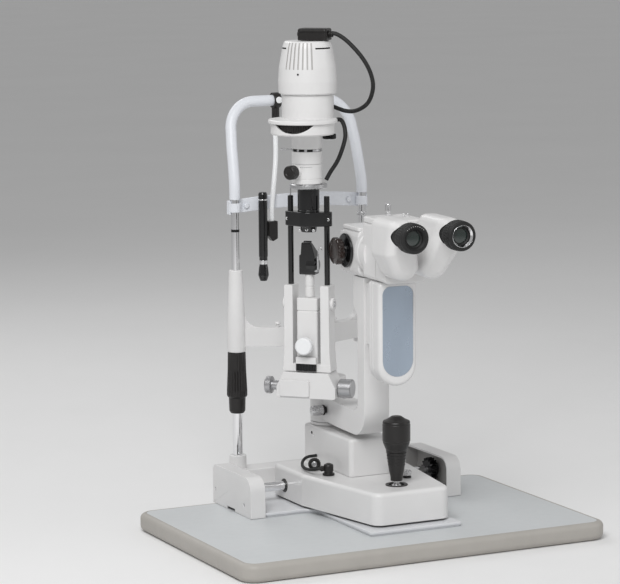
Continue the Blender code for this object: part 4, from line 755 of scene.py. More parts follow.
def build_magnification():
    low, high = span("magnification_housing", SCOPE)
    rear, front = -high.y, -low.y
    _, drum_y, drum_z = middle_of(*span("magnification_drum", SCOPE))
    at = (0, drum_y, drum_z)
    corners = box_corners((-0.027, low.z), (0.027, high.z), 0.0145)
    housing = Shape().shell(corners, edge_profile(rear, front, 0.004, 0.0028, 5), "Y", steps=8)
    lid = box_corners((-0.0262, -front + 0.0004), (0.0262, -rear - 0.009), 0.004)
    housing.shell(lid, edge_profile(high.z - 0.0052, high.z, 0.0006, 0.0022, 4), steps=6)
    # The drum bore and the light channel are near black: painted shade.
    bore = Shape().turn(rod(0.0173, -0.05, 0.05), 64, "X", at, 0, look=1)
    light = Shape().turn(rod(0.0165, rear - 0.01, rear + 0.012), 48, "Y", (0, 0, drum_z), 0, look=1)
    room = Shape().box((-0.04, -rear - 0.0110, high.z - 0.0105), (0.04, -rear + 0.011, high.z + 0.02))
    housing.cut(bore, light, room)
    housing.make("magnification_housing", [PAINT, GAP_SHADE_AND_MARKS], "microscope", SCOPE, "white_paint",
                 bevel=0.0004, segments=2, angle=50)
    low, high = span("objective_lens", SCOPE)
    near, far = -high.y, -low.y
    lens = Shape().turn([(0, near), (0.006, near + 0.00012), (0.012, near + 0.0005),
                         (0.0162, near + 0.001), (0.0162, far), (0, far)], 64, "Y", (0, 0, drum_z), 0)
    lens.turn(pipe(0.0150, 0.0164, near - 0.0001, far), 64, "Y", (0, 0, drum_z), look=1)
    lens.make("objective_lens", [LENS, BLACK_METAL], "microscope", SCOPE, "optical_glass")

    drum = Shape().turn(rod(0.017, -0.0274, 0.0274), 64, "X", at, look=1)
    for side in (-1, 1):
        drum.turn(mirrored([(0, 0.0273), (0.0225, 0.0274), (0.0240, 0.0282), (0.0240, 0.0304, 0.0006),
                            (0.0226, 0.0312), (0.0150, 0.0316), (0.0118, 0.0322), (0.0118, 0.0372),
                            (0, 0.0372)], side), 72, "X", at, look=1)
        ends = sorted((side * 0.0376, side * 0.0462))
        drum.turn(mirrored([(0, 0.0368), (0.0168, 0.0370), (0.0192, 0.0384, 0.001),
                            (0.0194, 0.0455, 0.002), (0.0166, 0.0474, 0.001), (0.0110, 0.0480),
                            (0.0100, 0.0474), (0, 0.0474)], side), 72, "X", at,
                  flutes=(8, 0.0026, *ends))
    drum.make("magnification_drum", [BROWN_GLOSS, BLACK_GLOSS], "drum", SCOPE, "black_metal")


def build_scope_body():
    low, high = span("scope_body", SCOPE)
    rear, front, top = -high.y, -low.y, high.z
    centre = 0.380
    body = Shape().turn([(0, rear), (0.0318, rear, 0.001), (0.034, rear + 0.002, 0.0015),
                         (0.034, rear + 0.012, 0.0006), (0.0330, rear + 0.0126),
                         (0.0330, rear + 0.0138), (0.034, rear + 0.0144, 0.0006), (0.034, 0.2000),
                         (0, 0.2000)], 72, "Y", (0, 0, centre))
    corners = box_corners((-0.031, 0.346), (0.031, top - 0.0052), 0.008)
    body.shell(corners, edge_profile(0.190, front, 0.0030, 0.0010, 4), "Y", steps=7)
    lid = box_corners((-0.0310, -front + 0.0002), (0.0310, -0.1885), 0.007)
    body.shell(lid, edge_profile(top - 0.0075, top, 0.0004, 0.0028, 5), steps=7)
    # The seam's faces get the darker enamel: a painted shade line.
    seam = Shape().box((-0.05, -0.2330, 0.30), (0.05, -0.2322, 0.45), look=1)
    body.cut(seam)
    body.make("scope_body", [PAINT, SHADED_PAINT], "microscope", SCOPE, "white_paint", bevel=0.0004,
              segments=2, angle=50)
    low, high = span("beam_selector", SCOPE)
    y = (low.y + high.y) / 2
    knob = Shape().turn([(0, low.z), (0.0034, low.z), (0.0034, low.z + 0.0042),
                         (0.0028, low.z + 0.0048), (0.0028, low.z + 0.0056),
                         (0.0042, low.z + 0.0064, 0.0004), (0.0042, high.z - 0.0014, 0.001),
                         (0.0030, high.z), (0, high.z)], 40, "Z", (0, y, 0))
    knob.make("beam_selector", CHROME, "beam_selector", SCOPE, "chrome")
    pins = Shape()
    for x in (0.0145, 0.0205):
        pins.turn([(0, top - 0.001), (0.0017, top - 0.001), (0.0017, top + 0.0040),
                   (0.0012, top + 0.0048), (0, top + 0.0050)], 20, "Z", (x, y - 0.020, 0))
    pins.make("body_pins", CHROME, "microscope", SCOPE, "chrome")


def build_camera_unit():
    low, high = span("camera_housing", SCOPE)
    half, top, front = 0.0285, high.z, -low.y

    def shape(inset):
        return [(0, low.z + half, half - inset), (half - 0.0065, top - 0.0065, 0.0065 - inset),
                (-half + 0.0065, top - 0.0065, 0.0065 - inset)]

    profile = [(0.0040, 0.2000), (0.0014, 0.2010), (0.0004, 0.2024), (0.0004, 0.2072), (0.0009, 0.2080),
               (0.0022, 0.2081), (0.0022, 0.2092), (0.0009, 0.2093), (0.0, 0.2101), (0.0, 0.2158),
               (0.0006, 0.2166), (0.0018, 0.2167), (0.0018, 0.2178), (0.0006, 0.2179), (0.0, 0.2186)]
    profile += edge_profile(0.222, front, 0.0, 0.0060, 7)[6:]
    body = Shape().shell(shape(0), profile, "Y", steps=14)
    reach = 0.0232
    panel_outline = [(0, 0.213 + reach, reach), (reach - 0.012, 0.339 - 0.012, 0.012),
                     (-reach + 0.012, 0.339 - 0.012, 0.012)]
    recess = Shape().shell(panel_outline, [(0, front - 0.0013), (0, front + 0.01)], "Y", steps=14)
    body.cut(recess)
    body.box((-0.015, -0.2040, 0.250), (0.015, -0.1667, 0.335))
    body.make("camera_housing", [PAINT, SHADED_PAINT], "microscope", SCOPE, "white_paint", bevel=0.0003,
              segments=2, angle=60)
    panel = Shape().shell(panel_outline, [(0.0004, front - 0.0014), (0.0004, front - 0.0010),
                                          (0.0009, front - 0.0006)], "Y", steps=14)
    panel.make("camera_panel", PANEL, "microscope", SCOPE, "satin_steel")


def build_eye_head(side):
    name = "left" if side < 0 else "right"
    joint = JOINTS[f"eye_distance_{name}"]
    pivot = SCOPE.inverted() @ Vector(joint["pos_m"])
    rear, front = -span(f"prism_housing_{name}", SCOPE)[1].y, 0.334
    eye_x, eye_z = side * EYE_OFFSET, EYE_HEIGHT
    spots = [(0.0295, eye_z + 0.0085, 0.0120), (0.0405, eye_z + 0.0085, 0.0115),
             (0.0415, eye_z - 0.0250, 0.0115), (0.022, pivot.z, 0.0195)]
    corners = [(side * x, z, r) for x, z, r in spots]
    corners = corners[::-1] if side > 0 else corners
    profile = edge_profile(rear, 0.300, 0.0030, 0.0, 6)[:7]
    turns = [pi / 2 * k / 10 for k in range(11)]
    profile += [(0.0112 * (1 - cos(a)), front - 0.020 * (1 - sin(a))) for a in turns]
    housing = Shape().shell(corners, profile, "Y", steps=10)

    def lean(co):
        share = max(0.0, (-co.y - rear) / (front - rear)) ** 1.5
        co.y -= 0.011 * (co.z - eye_z) / 0.030 * share

    housing.each(lean)
    # The eyepiece socket is near black: painted shade.
    socket = Shape().turn(rod(0.0160, 0.318, 0.36), 56, "Y", (eye_x, 0, eye_z), 0, look=1)
    seam = Shape().box((min(0, side * 0.09), -0.2700, 0.33), (max(0, side * 0.09), -0.2694, 0.46))
    keep = Shape().shell(corners, [(0.0010, 0.20), (0.0010, 0.40)], "Y", steps=10)
    housing.cut(seam.cut(keep), socket)
    housing.make(f"prism_housing_{name}", [PAINT, GAP_SHADE_AND_MARKS], f"eye_{name}", SCOPE, "white_paint",
                 bevel=0.0005, segments=2, angle=50)

    back, rim = 0.336, -span(f"eyepiece_{name}", SCOPE)[0].y
    profile = [(0, 0.3185), (0.0150, 0.3185), (0.0150, back + 0.0085), (0.0182, back + 0.0090),
               (0.0197, back + 0.0105, 0.0006), (0.0205, back + 0.0135), (0.0205, back + 0.0235),
               (0.0196, back + 0.0240), (0.0196, back + 0.0250), (0.0203, back + 0.0256),
               (0.0201, rim - 0.0022, 0.0012), (0.0186, rim - 0.0002, 0.0008), (0.0152, rim, 0.0006),
               (0.0136, rim - 0.0022), (0.0126, rim - 0.0026), (0.0120, rim - 0.0060),
               (0.0106, rim - 0.0072), (0, rim - 0.0072)]
    cup = Shape().turn(profile, 72, "Y", (eye_x, 0, eye_z), 0.0003,
                       flutes=(36, 0.00045, back + 0.0132, back + 0.0238))
    cup.turn([(0.0128, rim - 0.0030), (0.0150, rim + 0.0002), (0.0146, rim + 0.0004),
              (0.0124, rim - 0.0026)], 64, "Y", (eye_x, 0, eye_z), 0.0001, look=2 if side > 0 else 0)
    cup.turn([(0, rim - 0.0066), (0.004, rim - 0.0064), (0.0085, rim - 0.0068), (0.0104, rim - 0.0074),
              (0, rim - 0.0080)], 56, "Y", (eye_x, 0, eye_z), 0, look=1)
    marks = Shape()
    for i in range(9):
        a = pi / 2 + radians((i - 4) * 11)
        marks.turn(rod(0.00042, 0, 0.00025), 10, "Y", (eye_x + 0.0169 * cos(a), -rim + 0.00012, eye_z
                                                       + 0.0169 * sin(a)), 0, look=3)
    if side < 0:
        cup.add(marks)
    cup.make(f"eyepiece_{name}", [RUBBER, LENS, CHROME, DOT_WHITE], f"dioptre_{name}", SCOPE,
             "black_plastic")


# ---------------------------------------------------------------- slit projector

def knurl(radius, low, high, chamfer=0.0008):
    return [(0, low), (radius - chamfer, low), (radius, low + chamfer), (radius, high - chamfer),
            (radius - chamfer, high), (0, high)]


def build_illumination_arm():
    low, high = span("illumination_arm", TOWER)
    half, front, base = high.x, -low.y, low.z
    top = high.z
    outline = rounded([(-half, 0.162, 0.003), (half, 0.162, 0.003), (half, 0.178, 0.006),
                       (0.0335, top, 0.002), (-0.0335, top, 0.002), (-half, 0.178, 0.006)])
    block = Shape().slab(outline, front - 0.038, front, "Y")
    # The knob channel is near black: painted shade.
    channel = Shape().turn(rod(0.0060, -0.1, 0.1), 40, "X", (0, TOWER_Y, SLIT_KNOB_HEIGHT), 0, look=1)
    block.cut(channel)
    block.shell(box_corners((-0.0380, 0.1645), (0.0062, 0.1885), 0.003),
                edge_profile(front - 0.004, front + 0.0040, 0.0004, 0.0012, 3), "Y", steps=5)
    block.make("illumination_arm", [PAINT, GAP_SHADE_AND_MARKS], "illumination", TOWER, "white_paint",
               bevel=0.0026, segments=4, angle=35)
    limb = Shape().turn([(0.0103, base), (0.024, base, 0.001), (0.024, 0.178, 0.0015), (0.0103, 0.178)],
                        64)
    limb.shell(box_corners((-0.016, TOWER_Y, 0), (0.016, -0.014, 0), 0.003),
               edge_profile(0.1635, 0.177, 0.002, 0.002, 4), steps=6)
    limb.make("illumination_hub", PAINT, "illumination", TOWER, "white_paint")
    at = (0, TOWER_Y, SLIT_KNOB_HEIGHT)
    left = [(0, -0.0660), (0.0090, -0.0660), (0.0096, -0.0654), (0.0112, -0.0658), (0.0121, -0.0650),
            (0.0125, -0.0640), (0.0125, -0.0580), (0.0117, -0.0570), (0.0070, -0.0564),
            (0.0068, -0.0446), (0, -0.0446)]
    knobs = Shape().turn(left, 64, "X", at)
    knobs.turn(rod(0.0042, -0.0450, 0.0450), 32, "X", at)
    knobs.turn([(0, 0.0446), (0.0124, 0.0446), (0.0135, 0.0458), (0.0135, 0.0628), (0.0120, 0.0640),
                (0.0060, 0.0636), (0, 0.0636)], 60, "X", at, flutes=(40, 0.0005, 0.0462, 0.0620))
    knobs.make("slit_width_knobs", MACHINED, "slit_width", TOWER, "satin_steel")


def build_yoke():
    low, high = span("tilt_yoke", TOWER)
    near, far = -high.y, -low.y
    base, top, y = low.z, high.z, TOWER_Y
    yoke = Shape()
    foot = rounded([(-0.0362, base, 0.002), (0.0362, base, 0.002), (0.0350, base + 0.0115, 0.002),
                    (-0.0350, base + 0.0115, 0.002)])
    yoke.slab(foot, near, far, "Y")
    for side in (-1, 1):
        leg = [(0.0205, base + 0.004), (0.0358, base + 0.004), (0.0338, base + 0.030, 0.03),
               (0.0332, top, 0.002), (0.0205, top, 0.002)]
        yoke.slab(rounded([(side * p[0], *p[1:]) for p in leg]), near + 0.0003, far - 0.0003, "Y")
        ends = sorted((side * 0.0320, side * high.x))
        yoke.turn([(0, ends[0]), (0.009, ends[0], 0.001), (0.009, ends[1], 0.001), (0, ends[1])], 48,
                  "X", (0, y, PIVOT_HEIGHT))
    centre = box_corners((-0.0155, y - 0.012), (0.0155, y + 0.012), 0.003)
    wall = edge_profile(base + 0.006, 0.2852, 0.001, 0.0006, 4)
    wall += [(0.0012, 0.2858), (0.0012, 0.2868)] + edge_profile(0.2872, 0.305, 0.0006, 0.002, 4)
    yoke.shell(centre, wall, steps=6)
    yoke.make("tilt_yoke", [PAINT, GAP_SHADE_AND_MARKS], "tilt", TOWER, "white_paint", bevel=0.0022, segments=4,
              angle=50)
    screws = Shape()
    for side in (-1, 1):
        screws.add(side_screw(0.0042, 0.0010, side, (side * high.x, y, PIVOT_HEIGHT)))
    screws.make("yoke_screws", STEEL, "tilt", TOWER, "satin_steel")

    at = (0, y, 0.238)
    knob = Shape().turn([(0, 0.0123), (0.0050, 0.0123), (0.0050, 0.0182), (0.0112, 0.0190, 0.0006),
                         (0.0122, 0.0205), (0.0122, 0.0288, 0.0012), (0.0104, 0.0305, 0.001),
                         (0.0060, 0.0303), (0, 0.0303)], 60, "Y", at,
                        flutes=(30, 0.0004, 0.0202, 0.0284))
    knob.make("centring_knob", KNOB_WHITE, "centring", TOWER, "pale_plastic")

    low, high = span("tilt_latch", TOWER)
    latch, comb_top = Shape(), low.z + 0.0105
    latch.box((low.x, low.y + 0.0006, comb_top), high, look=1)
    latch.box((low.x, low.y + 0.0012, low.z), (high.x, high.y, comb_top + 0.0005))
    for i in range(13):
        x = low.x + (i + 0.5) * (high.x - low.x) / 13
        latch.box((x - 0.0007, low.y, low.z + 0.0006), (x + 0.0007, low.y + 0.002, comb_top - 0.0006))
    latch.make("tilt_latch", [BLACK_METAL, PAINT], "tilt_latch", TOWER, "black_metal", bevel=0.0003,
               segments=2)


def build_mirror():
    y = TOWER_Y
    low = span("mirror_holder", TOWER)[0]
    post = Shape().turn([(0, low.z), (0.0068, low.z), (0.0068, low.z + 0.014), (0.0060, low.z + 0.0145),
                         (0.0060, low.z + 0.0155), (0.0068, low.z + 0.016), (0.0068, 0.3375),
                         (0, 0.3375)], 48, "Z", (0, y + 0.002, 0))
    post.make("mirror_post", PAINT, "tilt", TOWER, "white_paint")
    side = rounded([(y + 0.013, 0.3372, 0.002), (y - 0.0072, 0.3372, 0.003),
                    (y - 0.0072, 0.3825, 0.002), (y - 0.0025, 0.3832, 0.001),
                    (y + 0.013, 0.3677, 0.001)])
    holder = Shape().slab(side, -0.0125, 0.0105, "X")
    waist = Shape().slab([(-0.02, 0.36), (-0.0102, 0.366), (-0.0085, 0.39), (-0.02, 0.39)], -y - 0.03,
                         -y + 0.03, "Y")
    shoulder = Shape().slab([(0.0112, 0.3610), (0.03, 0.3610), (0.03, 0.39), (0.0035, 0.39)], -y - 0.03,
                            -y + 0.03, "Y")
    holder.cut(waist, shoulder)
    holder.turn([(0, -0.003), (0.0105, -0.003), (0.0105, 0.010), (0.0085, 0.012), (0, 0.012)], 40, "X",
                (0.0015, y + 0.001, 0.3505))
    holder.make("mirror_holder", BLACK_GLOSS, "tilt", TOWER, "black_metal", bevel=0.0008, segments=3,
                angle=35)
    seat = [(y - 0.0010, 0.3835), (y + 0.0005, 0.385), (y + 0.0145, 0.371), (y + 0.0135, 0.369)]
    glass_plate = Shape().slab(seat, -0.0080, 0.0042, "X")
    glass_plate.make("mirror", MIRROR, "tilt", TOWER, "mirror_silver", bevel=0.0002)
    clip = Shape().box((0.0140, y - 0.0068, 0.3420), (0.0158, y - 0.0020, 0.3640))
    clip.box((0.0095, y - 0.0068, 0.3420), (0.0158, y - 0.0050, 0.3450))
    hook = [(0.0150, y - 0.0045, 0.3640), (0.0152, y - 0.0050, 0.3720), (0.0170, y - 0.0055, 0.3765),
            (0.0200, y - 0.0058, 0.3760), (0.0212, y - 0.0058, 0.3725)]
    clip.tube(smooth_route(hook, 0.001), 0.0006, 10)
    clip.make("mirror_clip", STEEL, "tilt", TOWER, "satin_steel", bevel=0.0002, segments=2)


def build_rods():
    y = TOWER_Y
    low, high = span("rod_frame", TOWER)
    plate_low, plate_top, rod_x, stub_top = 0.4065, 0.427, 0.027, 0.449
    corners = [(-0.0285, y, 0.0060), (0, y - 0.001, 0.0182), (0.0285, y, 0.0060)]
    plate = Shape().shell(corners, edge_profile(plate_low, plate_top, 0.0012, 0.0012, 4), steps=12)
    hole = Shape().turn(rod(0.0158, 0.39, 0.44), 56, "Z", (0, y, 0), 0)
    plate.cut(hole)
    for side, top in ((-1, stub_top), (1, high.z)):
        plate.turn([(0, low.z), (0.004, low.z), (0.004, top - 0.0008), (0.0034, top), (0, top)], 40,
                   "Z", (side * rod_x, y, 0))
    plate.make("rod_frame", BLACK_GLOSS, "tilt", TOWER, "black_metal")
    trim = Shape()
    for radius, depth, x, forward, level in (
            (0.0023, 0.0008, -0.0305, 0.0053, 0.4165), (0.0023, 0.0008, 0.0305, 0.0053, 0.4165),
            (0.0021, 0.0009, -0.0105, 0.0086, 0.4010), (0.0021, 0.0009, 0.0100, 0.0086, 0.4010),
            (0.0024, 0.0009, 0.0005, 0.0105, 0.4020)):
        screw = socket_screw(radius, depth, (0, 0, 0), "Y")
        trim.add(screw.move(Matrix.Translation((x, y - forward, level))))
    trim.turn(rod(0.0012, stub_top, stub_top + 0.012), 20, "Z", (-rod_x, y, 0))
    trim.make("projector_screws", CHROME, "tilt", TOWER, "chrome")

    low, high = span("lens_barrel", TOWER)
    profile = [(0.0080, low.z), (0.0105, low.z), (0.0118, low.z + 0.0062), (0.0125, low.z + 0.008),
               (0.0155, low.z + 0.009, 0.0006), (0.0155, 0.4290), (0.0150, 0.4295), (0.0150, 0.4305),
               (0.0155, 0.4310), (0.0155, 0.4600), (0.0080, 0.4600)]
    barrel = Shape().turn(profile, 72, "Z", (0, y, 0))
    barrel.turn([(0.0100, 0.4598), (0.0250, 0.4598), (0.0265, 0.4610), (0.0265, high.z - 0.0012),
                 (0.0255, high.z), (0.0100, high.z)], 80, "Z", (0, y, 0), look=1)
    barrel.make("lens_barrel", [BLACK_GLOSS, STEEL], "tilt", TOWER, "black_metal")


def build_slit_unit():
    y = (TOWER.inverted() @ Vector(JOINTS["slit_rotation"]["pos_m"])).y
    ring = Shape().turn([(SLIT_BORE, 0.467), (0.0208, 0.467), (SLIT_RADIUS, 0.4676),
                         (SLIT_RADIUS, 0.4735), (0.0209, 0.4739), (0.0209, 0.4746),
                         (SLIT_RADIUS, 0.4750), (SLIT_RADIUS, 0.4940), (0.0209, 0.4947),
                         (SLIT_BORE, 0.4947)], 96, "Z", (0, y, 0))
    angle = radians(-110)
    place = Matrix.Translation((0, y, 0.48485)) @ Matrix.Rotation(angle, 4, "Z")
    boss = Shape().turn([(0, 0.018), (0.0072, 0.018), (0.0066, 0.0262), (0.0060, 0.0272), (0, 0.0272)],
                        48, "X")
    boss.turn([(0, 0.0268), (0.0060, 0.0270), (0.0088, 0.0280, 0.0006), (0.0100, 0.0300),
               (0.0100, 0.0398, 0.001), (0.0088, 0.0414, 0.001), (0.0052, 0.0415), (0.0046, 0.0408),
               (0, 0.0408)], 56, "X", look=1, flutes=(28, 0.0004, 0.0296, 0.0396))
    ring.add(boss.move(place))
    dots = Shape()
    for i in range(15):
        a = radians(-168 + i * 8)
        dot = Shape().turn(rod(0.00055, 0, 0.0002), 10, "X", look=1)
        turn = Matrix.Rotation(a, 4, "Z")
        dots.add(dot.move(Matrix.Translation((0.02145 * cos(a), y + 0.02145 * sin(a), 0.4912)) @ turn))
    ring.add(dots)
    ring.make("slit_ring", [PAINT, BLACK_PLASTIC], "slit_turn", TOWER, "white_paint")

    low, high = span("slit_column", TOWER)
    profile = [(SLIT_BORE, low.z), (0.0209, low.z), (SLIT_RADIUS, low.z + 0.0006),
               (SLIT_RADIUS, 0.5125), (0.0190, 0.5125), (0.0190, 0.5165), (SLIT_RADIUS, 0.5165),
               (SLIT_RADIUS, high.z), (SLIT_BORE, high.z)]
    column = Shape().turn(profile, 96, "Z", (0, y, 0), 0.0002)
    column.make("slit_column", PAINT, "tilt", TOWER, "white_paint", bevel=0.0003, segments=2, angle=60)
    low, high = span("filter_lever", TOWER)
    lever = Shape().turn(pipe(0.0193, 0.0212, low.z, high.z), 80, "Z", (0, y, 0), 0.0002)
    lever.box((low.x + 0.002, y - 0.0014, low.z + 0.0003), (-0.0200, y + 0.0014, high.z - 0.0003))
    lever.tube([(low.x + 0.0006, y, (low.z + high.z) / 2), (low.x + 0.008, y, (low.z + high.z) / 2)],
               0.0015, 20)
    for middle in (-124, -92, -60):
        angles = [radians(middle - 11 + 22 * i / 8) for i in range(9)]
        mark = [(r * cos(a), y + r * sin(a)) for r, row in ((0.0214, angles), (0.0208, angles[::-1]))
                for a in row]
        lever.slab(mark, low.z - 0.0002, high.z + 0.0002, look=1)
    lever.make("filter_lever", [STEEL, GAP_SHADE_AND_MARKS], "filter_lever", TOWER, "satin_steel")


def build_disc_housing():
    y = TOWER_Y
    wheel_y = (TOWER.inverted() @ Vector(JOINTS["aperture_wheel_turn"]["pos_m"])).y
    centre = wheel_y + 0.0055
    housing_low, housing_high = span("disc_housing", TOWER)
    low, high, collar_top = housing_low.z, 0.559, housing_high.z
    housing = Shape().turn([(0, low), (0.0430, low), (0.0450, low + 0.002, 0.0008),
                            (0.0450, high - 0.0052), (0.0485, high - 0.0050, 0.0004),
                            (0.0485, high - 0.0012, 0.0008), (0.0473, high), (0, high)], 112, "Z",
                           (0, centre, 0), 0.0003)
    housing.turn([(0, high - 0.001), (0.0365, high - 0.001), (0.0365, collar_top - 0.0012, 0.0008),
                  (0.0355, collar_top), (0, collar_top)], 96, "Z", (0, y, 0))
    # The wheel chamber and the light channel are near black: painted shade.
    chamber = Shape().turn(rod(0.0365, high - 0.0165, high - 0.0055), 72, "Z", (0, wheel_y, 0), 0,
                           look=1)
    radius, sweep = 0.0388, 2 * acos(1 - 0.012 / 0.0388)
    arc = [(radius * sin(a), low + 0.0035 + radius * (1 - cos(a)))
           for a in (sweep * (i / 24 - 0.5) for i in range(25))]
    window = Shape().slab(arc, -centre + 0.026, -centre + 0.060, "Y", look=0)
    light = Shape().turn(rod(0.0150, 0.50, 0.60), 48, "Z", (0, y - 0.005, 0), 0, look=1)
    housing.cut(chamber, window, light)
    housing.make("disc_housing", [PAINT, GAP_SHADE_AND_MARKS], "tilt", TOWER, "white_paint", bevel=0.0004,
                 segments=2, angle=50)
    low, high = span("aperture_wheel", TOWER)
    wheel = Shape().turn([(0.0030, low.z), (0.0347, low.z), (0.0355, low.z + 0.0008),
                          (0.0355, high.z - 0.0008), (0.0347, high.z), (0.0030, high.z)], 60, "Z",
                         (0, wheel_y, 0), 0.0001, flutes=(60, 0.0009, low.z + 0.0005, high.z - 0.0005))
    reach = 0.0225
    for i in range(4):
        a = pi / 2 + i * pi / 2
        wheel.turn(rod(0.0070 - 0.0015 * i, high.z - 0.0001, high.z + 0.0001), 32, "Z",
                   (reach * cos(a), wheel_y + reach * sin(a), 0), 0, look=1)
    wheel.make("aperture_wheel", [BLACK_PLASTIC, STEEL], "aperture_wheel", TOWER, "black_plastic")
    low, high = span("filter_wheel", TOWER)
    at = (*middle_of(low, high)[:2], 0)
    filters = Shape().turn(knurl(0.0095, low.z, high.z - 0.001), 48, "Z", at,
                           flutes=(36, 0.0006, low.z + 0.0006, high.z - 0.0016))
    filters.turn(rod(0.0025, high.z - 0.0015, high.z), 24, "Z", at)
    filters.turn([(0, low.z - 0.0016), (0.0020, low.z - 0.0014), (0.0026, low.z + 0.0003),
                  (0, low.z + 0.0003)], 24, "Z", at, look=1)
    filters.make("filter_wheel", [BLACK_METAL, CHROME], "filter_wheel", TOWER, "black_metal")


def build_lamp():
    y = TOWER_Y
    low, high = span("lamp_cap", TOWER)
    base, top = low.z, high.z
    wall = [(0.0350, base), (0.0375, base, 0.0004), (0.0408, base + 0.002, 0.0012),
            (0.0414, base + 0.018, 0.02), (0.0400, base + 0.038, 0.03), (0.0350, base + 0.066, 0.03),
            (0.0328, base + 0.0725, 0.002), (0.0310, top, 0.001), (0.0080, top), (0.0080, top - 0.003),
            (0.0290, top - 0.003), (0.0330, base + 0.060), (0.0370, base + 0.038),
            (0.0384, base + 0.018)]
    cap = Shape().turn(wall, 112, "Z", (0, y, 0), 0.0002)
    cutters, grooves = [], 7

    def follow_cap(co):
        if -co.y < 0.040:
            co.y = -0.0391 + 0.185 * max(0, co.z - 0.630)

    # The grooves get the darker enamel: painted shade in them.
    for i in range(grooves):
        groove = Shape().slab(rounded([(-0.0011, 0.628, 0.0011), (0.0011, 0.628, 0.0011),
                                       (0.0011, 0.675), (-0.0011, 0.675)]), 0.0343, 0.060, "Y", look=2)
        groove.each(follow_cap)
        turn = Matrix.Rotation(radians((i - grooves // 2) * 9.5), 4, "Z")
        cutters.append(groove.move(Matrix.Translation((0, y, 0)) @ turn))
    # The slits are near black: painted shade inside them.
    for side in (-1, 1):
        slit = Shape().box((0.030, -0.0135, 0.6560), (0.05, 0.0135, 0.6580), look=1)
        turn = Matrix.Rotation(radians(-90 + side * 60), 4, "Z")
        cutters.append(slit.move(Matrix.Translation((0, y, 0)) @ turn))
    cap.cut(*cutters)
    cap.make("lamp_cap", [PAINT, GAP_SHADE_AND_MARKS, SHADED_PAINT], "tilt", TOWER, "white_paint", bevel=0.0003,
             segments=2, angle=60)
    dot = Shape().turn([(0, 0.0395), (0.0014, 0.0395), (0.0014, 0.0415), (0, 0.0417)], 20, "Y",
                       (0, y, 0.6216))
    dot.make("cap_screw", BLACK_METAL, "tilt", TOWER, "black_metal")
    bulb = [(0, base + 0.012), (0.0085, base + 0.015, 0.004), (0.0120, base + 0.024, 0.006),
            (0.0085, base + 0.034, 0.004), (0.0075, base + 0.036), (0.0075, base + 0.040),
            (0, base + 0.040)]
    lamp = Shape().turn(bulb, 48, "Z", (0, y, 0))
    lamp.turn([(0, base + 0.040), (0.0200, base + 0.040), (0.0200, base + 0.046),
               (0.0070, base + 0.048), (0.0070, top + 0.0005), (0, top + 0.0005)], 48, "Z", (0, y, 0),
              look=1)
    lamp.make("lamp", [CLEAR, STEEL], "tilt", TOWER, "optical_glass")

    low, high = span("lamp_connector", TOWER)
    wall = edge_profile(low.z, high.z - 0.0062, 0.0010, 0.0002, 4)
    wall += [(0.0006, high.z - 0.0060), (0.0006, high.z - 0.0052)]
    wall += edge_profile(high.z - 0.0050, high.z, 0.0002, 0.0030, 6)
    box = Shape().shell(box_corners(low, high, 0.0035), wall, steps=7)
    middle = (low.z + high.z) / 2
    ends = (low.x - 0.0024, low.x + 0.002)
    box.turn([(0, ends[0]), (0.0040, ends[0], 0.0006), (0.0046, ends[1]), (0, ends[1])], 32, "X",
             (0, y - 0.002, middle))
    for i in range(2):
        x = high.x + 0.0010 + i * 0.0030
        size = 0.0052 - i * 0.0008
        relief = Shape().turn([(0.0031, -0.0012), (size, -0.0012, 0.0005), (size, 0.0012, 0.0005),
                               (0.0031, 0.0012)], 32, "X")
        box.add(relief.move(Matrix.Translation((x, y, middle))))
    box.make("lamp_connector", BLACK_PLASTIC, "tilt", TOWER, "black_plastic")


# ---------------------------------------------------------------- chin and forehead rest

